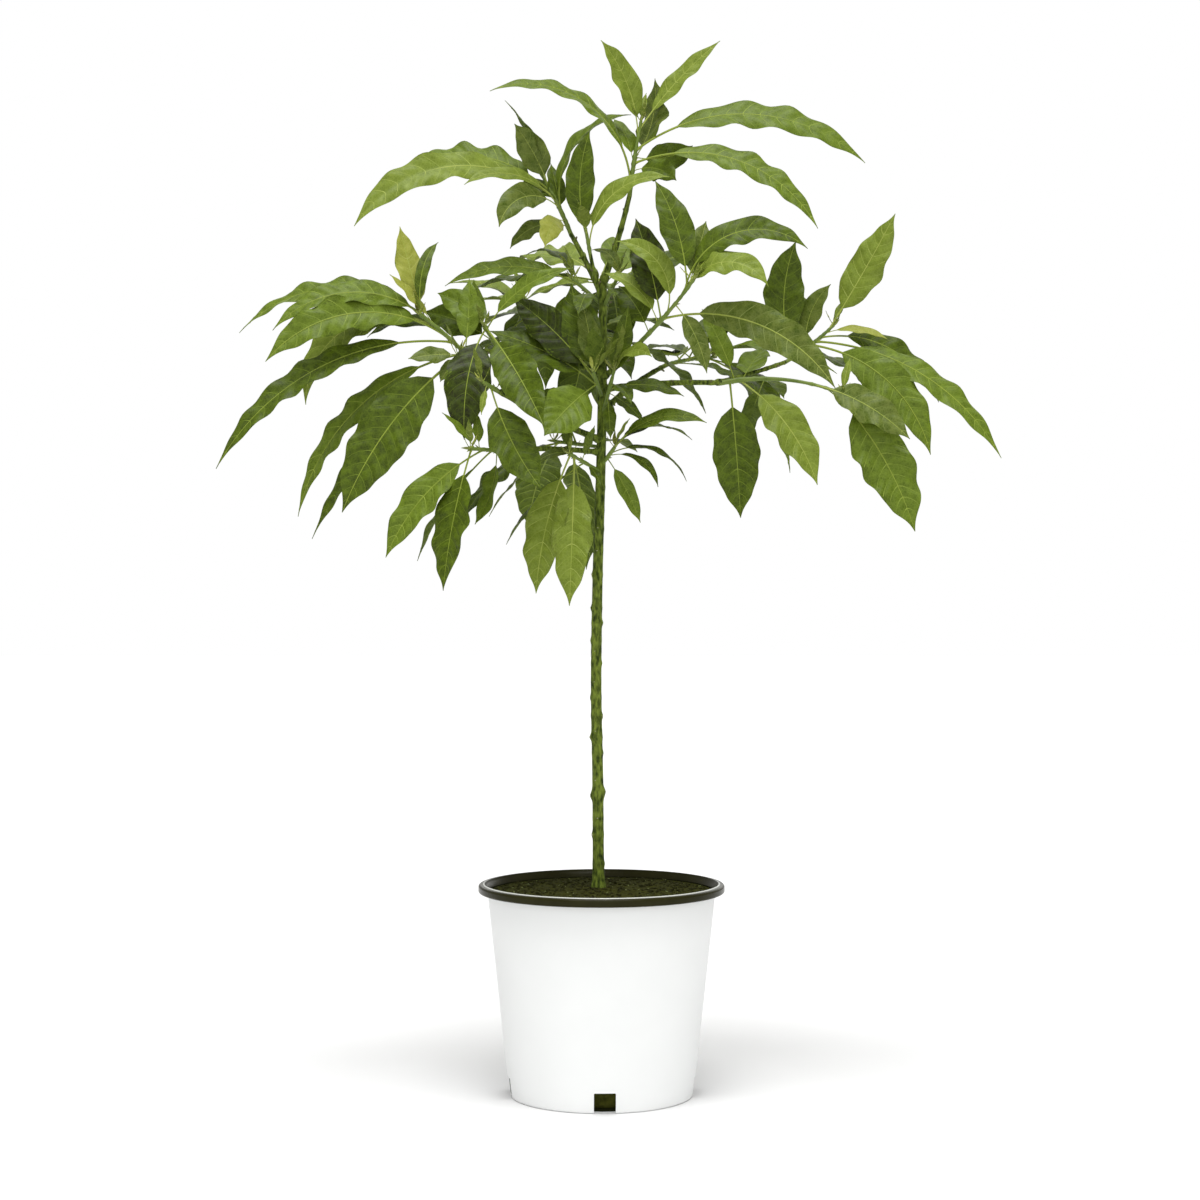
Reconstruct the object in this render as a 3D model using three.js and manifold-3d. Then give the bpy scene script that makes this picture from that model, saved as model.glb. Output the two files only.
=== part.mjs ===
// A young avocado tree, trained to a leafy crown on a clear stem, in its nursery pot.
// Millimetres, +Z up, the front of the tree towards -Y, the origin under the middle of the pot.
//
// Each limb and each shoot is an arc with a heading, a rise, a length and an arch, and every leaf is one
// more such arc that starts on the axis of its shoot. Headings are in degrees from +X towards +Y.

import * as THREE from 'three';
import { mergeVertices } from 'three/addons/utils/BufferGeometryUtils.js';
import Module from 'manifold-3d';

const wasm = await Module();
wasm.setup();

// ---------------------------------------------------------------- driving sizes

const GAP = 0.3;

const POT = {
  height: 240,
  baseRadius: 105,
  shoulderRadius: 129.6,
  wall: 2.6,
  floor: 4,
  footRound: 3,
  facets: 48,
};

// The lip is rolled outwards: its crest lies inside its outer edge, and it folds down inside the wall.
const RIM = {
  radius: 140,
  height: 10,
  edgeIn: 1.6,
  edgeUp: 2.4,
  sideTop: 7.4,
  crestRadius: 136.5,
  crestWidth: 4.5,
  crestDrop: 1.2,
  foldRadius: 127.2,
  foldOut: 0.8,
  foldUp: 4,
};

const NOTCH = { count: 4, width: 24, height: 23, depth: 14, turn: 2 };

// The soil's top rises from its edge to a level collar round the trunk.
const SOIL = {
  edgeTop: 231.5,
  crown: 236.3,
  collar: 20,
  shoulderShare: 0.6,
  shoulderRise: 0.65,
  edgeGap: 0.7,
  ledgeDrop: 1,
};

const TRUNK = {
  foot: 236.6,
  top: 923,
  swayX: [-3.4, -4, -6.3, -4.5, -1.2, 1, 1.7],
  swayY: [0, 1, 0, -1, 0, 1, 0],
  footRadius: 6.4,
  topRadius: 4.7,
  taperPower: 1.6,
  flare: 2.4,
  flareHeight: 11,
  knots: [282, 348, 380, 404, 432, 489, 540, 553, 592, 618, 642, 690, 745, 800],
  knotSwell: 0.9,
  knotReach: 6,
  steps: 40,
  sides: 8,
};

const LIMB = { sides: 7, stepLength: 28 };

// Bare is the share of a stem below its first leaf, less on one that grows on from a bough's tip.
const STEM = { sides: 4, sideFoot: 2.3, tip: 1.5, sideBare: 0.45, tipBare: 0.12, lastLeaf: 0.98 };

// Rings run from 0 to 1 along the stalk and on to 2 along the blade.
const LEAF = {
  stalkShare: 0.19,
  stalkRadius: 1.25,
  keelShare: 0.008,
  leastKeel: 0.6,
  tipRadius: 0.4,
  rings: [0, 1, 1.2, 1.48, 1.76, 2],
  shortRings: [0, 1, 1.42, 2],
  shortLength: 110,
  sides: 3,
};

// The blade is widest a little before its middle and narrows to a drawn-out tip.
const OUTLINE = { skew: 0.82, fullness: 0.85, narrowing: 0.18 };

const BUD_LEAVES = {
  count: 1,
  spread: 60,
  rise: [46, 70],
  length: [28.8, 46.8],
  turn: [0, 40],
  width: 0.32,
  arch: 20,
};

const SEEDED_LEAF = {
  goldenAngle: 137.5,
  spread: 170,
  rise: [-55, 26],
  length: [105, 200],
  turn: [0, 30],
  width: [0.32, 0.42],
  arch: [30, 70],
};

const SEED_STEP = 1009;

// A leaf that would touch something tries these changes of heading, in this order, before it is left out.
const SIDESTEPS = [0, 6, -6, 12, -12, 18, -18, 26, -26];

// On the trunk, `at` is a height in mm; on a bough it is a share of its length.
const BOUGHS = [
  {
    name: 'bough_right_fork', on: 'trunk', at: 923,
    heading: 354, rise: 73, length: 105, arch: -8,
    foot: 3.9, tip: 2.7,
  },
  {
    name: 'bough_left_fork', on: 'trunk', at: 905,
    heading: 145, rise: 60, length: 90, arch: 8,
    foot: 3.4, tip: 2.6,
  },
  {
    name: 'bough_middle', on: 'trunk', at: 896,
    heading: 232, rise: 68, length: 64, arch: -8,
    foot: 2.6, tip: 2.1,
  },
  {
    name: 'bough_right_upper', on: 'trunk', at: 815,
    heading: 313, rise: 30, length: 76, arch: -12,
    foot: 3.4, tip: 2.6,
  },
  {
    name: 'bough_right_lower', on: 'trunk', at: 802,
    heading: 349, rise: 2, length: 138, arch: 10,
    foot: 3.8, tip: 2.8,
  },
  {
    name: 'bough_right_outer', on: 'bough_right_lower', at: 0.95,
    heading: 23, rise: 17, length: 92, arch: -6,
    foot: 2.6, tip: 2.3,
  },
  {
    name: 'bough_left_upper', on: 'trunk', at: 821,
    heading: 189, rise: 10, length: 119, arch: 14,
    foot: 3.8, tip: 2.9,
  },
  {
    name: 'bough_left_outer', on: 'bough_left_upper', at: 0.94,
    heading: 197, rise: 2, length: 52, arch: 8,
    foot: 2.7, tip: 2.4,
  },
  {
    name: 'bough_left_lower', on: 'trunk', at: 744,
    heading: 216, rise: 19, length: 151, arch: -8,
    foot: 3.8, tip: 2.6,
  },
  {
    name: 'bough_left_low', on: 'trunk', at: 730,
    heading: 212, rise: -1, length: 132, arch: 10,
    foot: 3.2, tip: 2.5,
  },
  {
    name: 'bough_back_left', on: 'trunk', at: 838,
    heading: 124, rise: 18, length: 128, arch: 14,
    foot: 3.6, tip: 2.6,
  },
  {
    name: 'bough_back_right', on: 'trunk', at: 776,
    heading: 50, rise: 28, length: 135, arch: 14,
    foot: 3.6, tip: 2.6,
  },
  {
    name: 'bough_back_top', on: 'trunk', at: 872,
    heading: 84, rise: 34, length: 102, arch: 12,
    foot: 3.2, tip: 2.4,
  },
];

// A shoot grows on from its bough's tip, or from the side of what carries it where `at` is given.
// Its leaves stand in order from its foot to its tip, evenly spaced where a row doesn't end in a share of
// the stem: heading, rise, length, turn, width, arch.
// Turn is how far the blade rolls about its midrib to face the front, width is a share of the blade's
// length, and arch is how far the midrib bends down from stalk to tip.
const SHOOTS = [
  {
    name: 'foliage_top',
    on: 'bough_right_fork',
    stem: { heading: 30, rise: 80, length: 86, arch: 6 },
    leaves: [
      [190, 32, 222, 36, 0.2, 108],
      [350, -21, 241, 50, 0.2, 75, 0.42],
      [322, -16, 66, 62, 0.6, 50],
      [120, 53, 77, 0, 0.42, 53],
      [20, 14, 76, 85, 0.6, -50],
      [1, -3, 283, 50, 0.2, 77],
      [40, 72, 103, 0, 0.6, -55, 0.5],
      [199, 67, 118, 80, 0.38, 45],
      [5, 48, 139, 55, 0.24, 15],
    ],
  },
  {
    name: 'foliage_top_left',
    on: 'bough_left_fork',
    stem: { heading: 155, rise: 62, length: 82, arch: 10 },
    leaves: [
      [178, -21, 77, 55, 0.42, 78],
      [246, -34, 72, 40, 0.52, 76],
      [218, -20, 105, 60, 0.46, 106, 0.42],
      [344, 52, 158, 40, 0.3, 108],
      [170, 20, 64, 60, 0.5, 101],
      [204, 6, 124, 50, 0.26, 80],
      [199, -11, 264, 55, 0.22, 86],
      [171, 13, 183, 40, 0.32, 69],
      [206, 58, 84, 112, 0.56, 30],
      [202, 61, 107, 0, 0.22, 34],
      [120, 66, 70, 0, 0.46, 10, 0.3],
    ],
  },
  {
    name: 'foliage_top_middle',
    on: 'bough_middle',
    stem: { heading: 200, rise: 79, length: 27, arch: 0 },
    leaves: [
      [348, 40, 138, 60, 0.28, 100],
      [0, 89, 128, 90, 0.36, 36],
      [262, 28, 56, 0, 0.36, 40],
    ],
  },
  {
    name: 'foliage_fork_left',
    on: 'trunk',
    at: 897,
    stem: { heading: 168, rise: 42, length: 48, arch: 0 },
    leaves: [
      [258, -28, 66, 0, 0.5, 50],
      [150, -54, 60, 113, 0.78, 39],
      [178, 1, 168, 50, 0.24, 70],
      [141, 27, 102, 0, 0.36, 93],
      [150, 70, 44, 0, 0.34, 10],
    ],
  },
  {
    name: 'foliage_fork_right',
    on: 'trunk',
    at: 894,
    stem: { heading: 308, rise: 50, length: 46, arch: 0 },
    leaves: [
      [276, -12, 56, 0, 0.42, 60],
      [20, 20, 66, 20, 0.38, 50],
      [150, 50, 58, 40, 0.36, 110],
    ],
  },
  {
    name: 'foliage_right_upper',
    on: 'bough_right_upper',
    stem: { heading: 311, rise: 35, length: 102, arch: -10 },
    leaves: [
      [138, 46, 83, 50, 0.6, 28],
      [130, 70, 126, 42, 0.46, 12, 0.35],
      [154, 42, 95, 40, 0.34, 60],
      [340, -23, 228, 70, 0.27, 72],
      [168, 55, 114, 60, 0.32, 101],
      [335, -64, 88, 60, 0.36, 37, 0.62],
      [140, 70, 133, 50, 0.38, 27, 0.86],
      [332, 3, 133, 55, 0.36, 131],
      [356, 19, 178, 60, 0.28, 130],
      [60, 62, 88, 40, 0.46, 13],
    ],
  },
  {
    name: 'foliage_right_low',
    on: 'bough_right_lower',
    stem: { heading: 355, rise: -6, length: 140, arch: 34 },
    leaves: [
      [315, -84, 155, 45, 0.47, -3, 0.06],
      [340, -53, 152, 55, 0.42, 34, 0.14],
      [153, 64, 93, 50, 0.36, 19, 0.1],
      [62, 35, 74, 0, 0.7, 10, 0.16],
      [66, -8, 104, 20, 0.42, 50, 0.26],
      [110, -50, 92, 0, 0.4, 20, 0.34],
      [343, -30, 130, 60, 0.42, 34, 0.72],
      [20, -48, 110, 20, 0.4, 30, 0.84],
      [344, -60, 186, 70, 0.44, 29, 0.9],
    ],
  },
  {
    name: 'foliage_right_outer',
    on: 'bough_right_outer',
    stem: { heading: 14, rise: 37, length: 73, arch: -12 },
    leaves: [
      [0, 88, 138, 90, 0.46, 48],
      [80, 58, 92, 0, 0.4, 24],
      [30, -24, 126, 30, 0.42, 44],
      [0, 69, 81, 60, 0.44, 48],
      [341, -43, 198, 70, 0.32, 60],
      [350, -33, 260, 45, 0.2, 54],
      [4, -28, 168, 55, 0.3, 74],
      [351, -6, 75, 40, 0.24, 53],
      [351, 60, 152, 80, 0.38, -8],
    ],
  },
  {
    name: 'foliage_right_inner',
    on: 'trunk',
    at: 770,
    stem: { heading: 296, rise: 58, length: 60, arch: 0 },
    leaves: [
      [280, -68, 54, 0, 0.4, 30],
      [330, -38, 58, 30, 0.45, 30],
      [0, -6, 88, 46, 0.34, 50],
      [296, -25, 62, 0, 0.46, 60],
      [322, 15, 96, 50, 0.32, 108],
      [322, 70, 63, -54, 0.56, -2],
      [325, 69, 92, 123, 0.36, -6, 0.7],
    ],
  },
  {
    name: 'foliage_low_right',
    on: 'trunk',
    at: 714,
    stem: { heading: 318, rise: 45, length: 30, arch: 0 },
    leaves: [
      [343, -62, 84, 60, 0.32, 13],
      [343, -32, 77, 30, 0.24, 93],
      [10, -19, 106, 25, 0.24, 96],
      [27, 9, 118, 10, 0.3, 90],
      [349, 15, 121, 40, 0.28, 82],
    ],
  },
  {
    name: 'foliage_low_left',
    on: 'trunk',
    at: 708,
    stem: { heading: 230, rise: 18, length: 58, arch: 0 },
    leaves: [
      [300, -40, 42, 0, 0.4, 30],
      [156, -43, 136, 30, 0.34, 30],
      [315, 62, 44, 0, 0.4, 10],
      [190, -76, 162, 55, 0.42, 25, 0.96],
      [262, -78, 172, 0, 0.36, 18, 0.84],
      [196, -12, 52, 40, 0.36, 80],
      [225, 62, 44, 0, 0.4, 10],
    ],
  },
  {
    name: 'foliage_centre_front',
    on: 'trunk',
    at: 793,
    stem: { heading: 258, rise: 26, length: 56, arch: 0 },
    leaves: [
      [170, 27, 143, 40, 0.46, 21],
      [228, -36, 108, 55, 0.7, 11],
      [159, 44, 145, 60, 0.44, 13],
      [131, 69, 122, 42, 0.5, -19],
      [144, 78, 88, 40, 0.42, 0],
      [257, 78, 56, 0, 0.56, 34],
      [338, 50, 56, 0, 0.42, 20],
    ],
  },
  {
    name: 'foliage_left_inner',
    on: 'bough_left_upper',
    stem: { heading: 228, rise: 48, length: 38, arch: 0 },
    leaves: [
      [247, -67, 146, 20, 0.47, 60, 0.9],
      [304, -44, 173, 44, 0.38, 18, 0.96],
      [158, 37, 81, 60, 0.62, 38, 0.74],
      [356, 35, 124, 60, 0.26, 56, 0.86],
      [120, 64, 70, 15, 0.5, -87, 0.94],
      [150, 23, 104, 60, 0.5, 20, 0.4],
    ],
  },
  {
    name: 'foliage_left_outer',
    on: 'bough_left_outer',
    stem: { heading: 200, rise: 38, length: 62, arch: 10 },
    leaves: [
      [178, -30, 212, 60, 0.28, 127, 0.6],
      [195, -29, 321, 50, 0.15, 69],
      [198, -9, 232, 60, 0.27, 88],
      [157, 1, 108, 40, 0.32, 78],
      [168, 1, 268, 40, 0.18, 92],
      [190, -2, 207, 55, 0.24, 97],
      [194, 48, 74, 50, 0.28, 20],
      [60, 69, 101, 30, 0.2, 81, 0.96],
      [150, 72, 111, 45, 0.38, -10],
    ],
  },
  {
    name: 'foliage_left_hanging',
    on: 'bough_left_outer',
    at: 0.8,
    stem: { heading: 240, rise: -18, length: 28, arch: 0 },
    leaves: [
      [72, 72, 92, 0, 0.4, 10],
      [175, -44, 276, 50, 0.19, 62],
      [183, -51, 271, 50, 0.15, 34],
      [195, -53, 228, 70, 0.38, 40],
      [196, -6, 60, 60, 0.5, 23],
      [200, -54, 38, 60, 0.6, 22],
    ],
  },
  {
    name: 'foliage_left_middle',
    on: 'bough_left_lower',
    stem: { heading: 214, rise: 25, length: 20, arch: 0 },
    leaves: [
      [48, 36, 38, 0, 0.3, 0],
      [329, -60, 132, 50, 0.5, -19],
      [250, -66, 38, 0, 0.3, 10],
    ],
  },
  {
    name: 'foliage_left_low',
    on: 'bough_left_low',
    stem: { heading: 215, rise: 1, length: 39, arch: 0 },
    leaves: [
      [152, -71, 88, 60, 0.5, -39],
      [146, -49, 163, 20, 0.26, 30],
      [205, -78, 160, 30, 0.42, 13, 0.96],
      [185, -48, 164, 60, 0.34, 40],
      [120, 76, 44, 0, 0.4, 10],
      [193, 47, 54, 50, 0.3, 20],
    ],
  },
  {
    name: 'foliage_centre_back', on: 'trunk', at: 850,
    stem: { heading: 104, rise: 35, length: 60, arch: 0 },
    seeded: 7,
  },
  {
    name: 'foliage_low_back', on: 'trunk', at: 736,
    stem: { heading: 140, rise: 8, length: 72, arch: 0 },
    seeded: 7,
  },
  {
    name: 'foliage_back_left', on: 'bough_back_left',
    stem: { heading: 118, rise: 42, length: 72, arch: 10 },
    seeded: 10,
  },
  {
    name: 'foliage_back_right', on: 'bough_back_right',
    stem: { heading: 50, rise: 10, length: 90, arch: 10 },
    seeded: 10,
  },
  {
    name: 'foliage_back_top', on: 'bough_back_top',
    stem: { heading: 104, rise: 16, length: 60, arch: 10 },
    seeded: 8,
  },
];

const FINISHES = {
  pot: { color: 0xf2f3f2, roughness: 0.45 },
  rim: { color: 0x1c1d1b, roughness: 0.25 },
  soil: { color: 0x2a221a, roughness: 0.95 },
  trunk: { color: 0x6d7a3f, roughness: 0.7 },
  bough: { color: 0x6f8442, roughness: 0.7 },
  leaf: { color: 0x4f6b2c, roughness: 0.5 },
};

// ---------------------------------------------------------------- axes

const GENERATOR = { multiplier: 1664525, increment: 1013904223, range: 2 ** 32 };

// Numbers from 0 to 1 that look random and are the same for the same seed.
function seededNumbers(seed) {
  let state = seed;
  return () => {
    state = (Math.imul(state, GENERATOR.multiplier) + GENERATOR.increment) >>> 0;
    return state / GENERATOR.range;
  };
}

// An arc in an upright plane. It leaves `start` above its chord and bends down by `arch` degrees.
class Arc {
  constructor(start, heading, rise, length, arch, turn = 0) {
    const azimuth = THREE.MathUtils.degToRad(heading);
    const climb = THREE.MathUtils.degToRad(rise);
    this.start = start;
    this.length = length;
    this.bend = THREE.MathUtils.degToRad(arch) || 1e-6;
    this.turn = THREE.MathUtils.degToRad(turn);
    this.chord = new THREE.Vector3(
      Math.cos(climb) * Math.cos(azimuth),
      Math.cos(climb) * Math.sin(azimuth),
      Math.sin(climb),
    );
    this.across = new THREE.Vector3(Math.sin(azimuth), -Math.cos(azimuth), 0);
    this.over = this.across.clone().cross(this.chord);
    this.frontSign = Math.cos(azimuth) < 0 ? -1 : 1;
  }

  // The centre and the section's directions at a share `t` of the arc. Before 0 and past 1 it runs straight.
  at(t) {
    const inside = THREE.MathUtils.clamp(t, 0, 1);
    const slope = this.bend / 2 - this.bend * inside;
    const scale = this.length / this.bend;
    const along = this.chord
      .clone()
      .multiplyScalar(Math.cos(slope))
      .addScaledVector(this.over, Math.sin(slope));
    const centre = this.start
      .clone()
      .addScaledVector(this.chord, scale * (Math.sin(this.bend / 2) - Math.sin(slope)))
      .addScaledVector(this.over, scale * (Math.cos(slope) - Math.cos(this.bend / 2)))
      .addScaledVector(along, (t - inside) * this.length);
    const level = this.across.clone().cross(along);
    const roll = this.turn * this.frontSign;
    const side = this.across.clone().multiplyScalar(Math.cos(roll)).addScaledVector(level, -Math.sin(roll));
    const normal = level.multiplyScalar(Math.cos(roll)).addScaledVector(this.across, Math.sin(roll));
    return { centre, side, normal, along };
  }
}

// The trunk's axis sways a little about an upright line, and its sections stay level.
class TrunkAxis {
  constructor() {
    const last = TRUNK.swayX.length - 1;
    const points = TRUNK.swayX.map(
      (x, i) => new THREE.Vector3(x, TRUNK.swayY[i], THREE.MathUtils.lerp(TRUNK.foot, TRUNK.top, i / last)),
    );
    this.curve = new THREE.CatmullRomCurve3(points, false, 'catmullrom', 0.5);
    this.length = TRUNK.top - TRUNK.foot;
  }

  at(t) {
    const inside = THREE.MathUtils.clamp(t, 0, 1);
    const centre = this.curve.getPoint(inside);
    centre.z += (t - inside) * this.length;
    return {
      centre,
      side: new THREE.Vector3(1, 0, 0),
      normal: new THREE.Vector3(0, -1, 0),
      along: new THREE.Vector3(0, 0, 1),
    };
  }

  shareAtHeight(height) {
    return (height - TRUNK.foot) / this.length;
  }
}

// ---------------------------------------------------------------- solids

// A closed three.js geometry as a manifold solid, with its flat triangles dropped.
function solid(geometry) {
  geometry.deleteAttribute('normal');
  geometry.deleteAttribute('uv');
  const merged = mergeVertices(geometry, 1e-4);
  const corners = merged.index.array;
  const kept = [];
  for (let i = 0; i < corners.length; i += 3) {
    const [a, b, c] = [corners[i], corners[i + 1], corners[i + 2]];
    if (a !== b && b !== c && c !== a) kept.push(a, b, c);
  }
  return new wasm.Manifold(
    new wasm.Mesh({
      numProp: 3,
      vertProperties: new Float32Array(merged.getAttribute('position').array),
      triVerts: new Uint32Array(kept),
    }),
  );
}

// A tube along an axis. `section` gives its half width and its half thickness at a share of the axis.
function sweep(axis, stations, sides, section) {
  const steps = stations.length - 1;
  const tube = new THREE.CylinderGeometry(1, 1, 1, sides, steps, false, Math.PI);
  const place = tube.getAttribute('position');
  for (let i = 0; i < place.count; i += 1) {
    const t = stations[Math.round((place.getY(i) + 0.5) * steps)];
    const { centre, side, normal } = axis.at(t);
    const { wide, thick } = section(t);
    centre.addScaledVector(side, place.getX(i) * wide);
    centre.addScaledVector(normal, place.getZ(i) * thick);
    place.setXYZ(i, centre.x, centre.y, centre.z);
  }
  return solid(tube);
}

function evenStations(steps) {
  return Array.from({ length: steps + 1 }, (unused, i) => i / steps);
}

// A solid turned about the Z axis from a profile of [radius, height] points.
function turned(profile, facets) {
  const points = profile.map(([radius, height]) => new THREE.Vector2(radius, height));
  const lathe = new THREE.LatheGeometry(points, facets);
  lathe.rotateX(Math.PI / 2);
  return solid(lathe);
}

function overlap(one, other) {
  return one.intersect(other).getMesh().triVerts.length > 0;
}

function meshOf(name, body, finish) {
  const { vertProperties, triVerts } = body.getMesh();
  const geometry = new THREE.BufferGeometry();
  geometry.setAttribute('position', new THREE.BufferAttribute(vertProperties, 3));
  geometry.setIndex(new THREE.BufferAttribute(triVerts, 1));
  geometry.computeVertexNormals();
  const material = new THREE.MeshStandardMaterial({ ...finish, metalness: 0 });
  const mesh = new THREE.Mesh(geometry, material);
  mesh.name = name;
  return mesh;
}

// ---------------------------------------------------------------- pot and soil

function potWallRadius(height) {
  const share = (height - POT.footRound) / (POT.height - RIM.height - POT.footRound);
  return THREE.MathUtils.lerp(POT.baseRadius, POT.shoulderRadius, share);
}

function potSolid() {
  const top = POT.height - RIM.height - GAP;
  let pot = turned(
    [
      [0, 0],
      [POT.baseRadius - POT.footRound, 0],
      [POT.baseRadius - POT.footRound / 3, POT.footRound / 3],
      [POT.baseRadius, POT.footRound],
      [potWallRadius(top), top],
      [potWallRadius(top) - POT.wall, top],
      [potWallRadius(POT.floor) - POT.wall, POT.floor],
      [0, POT.floor],
    ],
    POT.facets,
  );
  for (let i = 0; i < NOTCH.count; i += 1) {
    const notch = new THREE.BoxGeometry(NOTCH.width, NOTCH.depth, NOTCH.height * 2);
    notch.translate(0, -POT.baseRadius, 0);
    notch.rotateZ(THREE.MathUtils.degToRad(NOTCH.turn + (360 / NOTCH.count) * i));
    pot = pot.subtract(solid(notch));
  }
  return pot;
}

function rimSolid() {
  const foot = POT.height - RIM.height;
  return turned(
    [
      [RIM.foldRadius, foot],
      [RIM.radius - RIM.edgeIn, foot],
      [RIM.radius, foot + RIM.edgeUp],
      [RIM.radius, foot + RIM.sideTop],
      [RIM.crestRadius, POT.height],
      [RIM.crestRadius - RIM.crestWidth, POT.height - RIM.crestDrop],
      [RIM.foldRadius + RIM.foldOut, foot + RIM.foldUp],
      [RIM.foldRadius, foot],
    ],
    POT.facets,
  );
}

function soilSolid() {
  const inner = (height) => potWallRadius(height) - POT.wall - GAP;
  const foot = POT.floor + GAP;
  const ledge = POT.height - RIM.height;
  const edge = RIM.foldRadius - SOIL.edgeGap;
  return turned(
    [
      [0, foot],
      [inner(foot), foot],
      [inner(ledge) - GAP, ledge - SOIL.ledgeDrop],
      [edge, SOIL.edgeTop],
      [edge * SOIL.shoulderShare, THREE.MathUtils.lerp(SOIL.edgeTop, SOIL.crown, SOIL.shoulderRise)],
      [SOIL.collar, SOIL.crown],
      [0, SOIL.crown],
    ],
    POT.facets,
  );
}

// ---------------------------------------------------------------- trunk and boughs

function trunkRadius(t) {
  const height = THREE.MathUtils.lerp(TRUNK.foot, TRUNK.top, t);
  const taper = THREE.MathUtils.lerp(TRUNK.footRadius, TRUNK.topRadius, t ** TRUNK.taperPower);
  const flare = TRUNK.flare * Math.exp(-(height - TRUNK.foot) / TRUNK.flareHeight);
  const swell = TRUNK.knots.reduce(
    (sum, knot) => sum + TRUNK.knotSwell * Math.exp(-(((height - knot) / TRUNK.knotReach) ** 2)),
    0,
  );
  return taper + flare + swell;
}

// A limb is described once, and made twice: as it is, and grown by the gap for cutting its neighbours.
function limbBody(axis, stations, sides, radius, grow) {
  const ends = [...stations];
  ends[0] -= grow / axis.length;
  ends[ends.length - 1] += grow / axis.length;
  return sweep(axis, ends, sides, (t) => {
    const size = radius(THREE.MathUtils.clamp(t, 0, 1)) + grow;
    return { wide: size, thick: size };
  });
}

function startOn(carrier, at) {
  const share = carrier.axis instanceof TrunkAxis ? carrier.axis.shareAtHeight(at) : at;
  return carrier.axis.at(share).centre;
}

function limbSteps(length) {
  return Math.max(2, Math.round(length / LIMB.stepLength));
}

function taperedRadius(foot, tip) {
  return (t) => THREE.MathUtils.lerp(foot, tip, t);
}

// Cut a limb clear of every limb that is already there.
function cutClear(body, limbs) {
  return [...limbs.values()].reduce((rest, limb) => rest.subtract(limb.grown), body);
}

function makeTrunk() {
  const axis = new TrunkAxis();
  const stations = evenStations(TRUNK.steps);
  return {
    axis,
    tip: TRUNK.topRadius,
    body: limbBody(axis, stations, TRUNK.sides, trunkRadius, 0),
    grown: limbBody(axis, stations, TRUNK.sides, trunkRadius, GAP),
  };
}

function makeBough(row, limbs) {
  const carrier = limbs.get(row.on);
  const start = startOn(carrier, row.at);
  const axis = new Arc(start, row.heading, row.rise, row.length, row.arch);
  const stations = evenStations(limbSteps(row.length));
  const radius = taperedRadius(row.foot, row.tip);
  return {
    axis,
    tip: row.tip,
    body: cutClear(limbBody(axis, stations, LIMB.sides, radius, 0), limbs),
    grown: limbBody(axis, stations, LIMB.sides, radius, GAP),
  };
}

// ---------------------------------------------------------------- leaves and shoots

// The blade's width as a share of its widest, from its foot to its long tip.
function bladeOutline(u) {
  return Math.sin(Math.PI * u ** OUTLINE.skew) ** OUTLINE.fullness * (1 - OUTLINE.narrowing * u);
}

function leafAxis(start, row, sidestep) {
  const [heading, rise, length, turn, , arch] = row;
  return new Arc(start, heading + sidestep, rise, length, arch, turn);
}

// A flat-topped blade with a keel under its midrib, and its stalk, as one three-sided tube.
function leafSolid(axis, width) {
  const rings = axis.length < LEAF.shortLength ? LEAF.shortRings : LEAF.rings;
  const bladeLength = axis.length * (1 - LEAF.stalkShare);
  const keel = Math.max(axis.length * LEAF.keelShare, LEAF.leastKeel);
  const stalk = Math.max(LEAF.stalkRadius, keel);
  const edge = Math.sin((2 * Math.PI) / LEAF.sides);
  const stations = rings.map((ring) =>
    ring < 1 ? ring * LEAF.stalkShare : LEAF.stalkShare + (ring - 1) * (1 - LEAF.stalkShare),
  );
  return sweep(axis, stations, LEAF.sides, (t) => {
    const u = (t - LEAF.stalkShare) / (1 - LEAF.stalkShare);
    if (u <= 0) return { wide: stalk, thick: stalk };
    if (u >= 1) return { wide: LEAF.tipRadius, thick: LEAF.tipRadius };
    const wide = Math.max((bladeLength * width * bladeOutline(u)) / 2 / edge, stalk * (1 - u));
    return { wide, thick: keel };
  });
}

function between([low, high], random) {
  return low + (high - low) * random();
}

// The small leaves round the bud at a shoot's tip.
function budRows(random, heading) {
  return Array.from({ length: BUD_LEAVES.count }, (unused, i) => [
    heading + (360 / BUD_LEAVES.count) * i + BUD_LEAVES.spread * random(),
    between(BUD_LEAVES.rise, random),
    between(BUD_LEAVES.length, random),
    between(BUD_LEAVES.turn, random),
    BUD_LEAVES.width,
    BUD_LEAVES.arch,
  ]);
}

// Leaves set round a shoot at the golden angle, each with its own rise and size.
function seededRows(random, heading, count) {
  return Array.from({ length: count }, (unused, i) => [
    heading + (((i * SEEDED_LEAF.goldenAngle) % 360) / 360 - 0.5) * SEEDED_LEAF.spread,
    between(SEEDED_LEAF.rise, random),
    between(SEEDED_LEAF.length, random),
    between(SEEDED_LEAF.turn, random),
    between(SEEDED_LEAF.width, random),
    between(SEEDED_LEAF.arch, random),
  ]);
}

function makeStem(row, limbs) {
  const carrier = limbs.get(row.on);
  const { heading, rise, length, arch } = row.stem;
  const onSide = row.at !== undefined;
  const start = onSide ? startOn(carrier, row.at) : carrier.axis.at(1 + GAP / carrier.axis.length).centre;
  const axis = new Arc(start, heading, rise, length, arch);
  const radius = taperedRadius(onSide ? STEM.sideFoot : carrier.tip, STEM.tip);
  const body = limbBody(axis, evenStations(limbSteps(length)), STEM.sides, radius, 0);
  return { axis, firstLeaf: onSide ? STEM.sideBare : STEM.tipBare, body: cutClear(body, limbs) };
}

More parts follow.
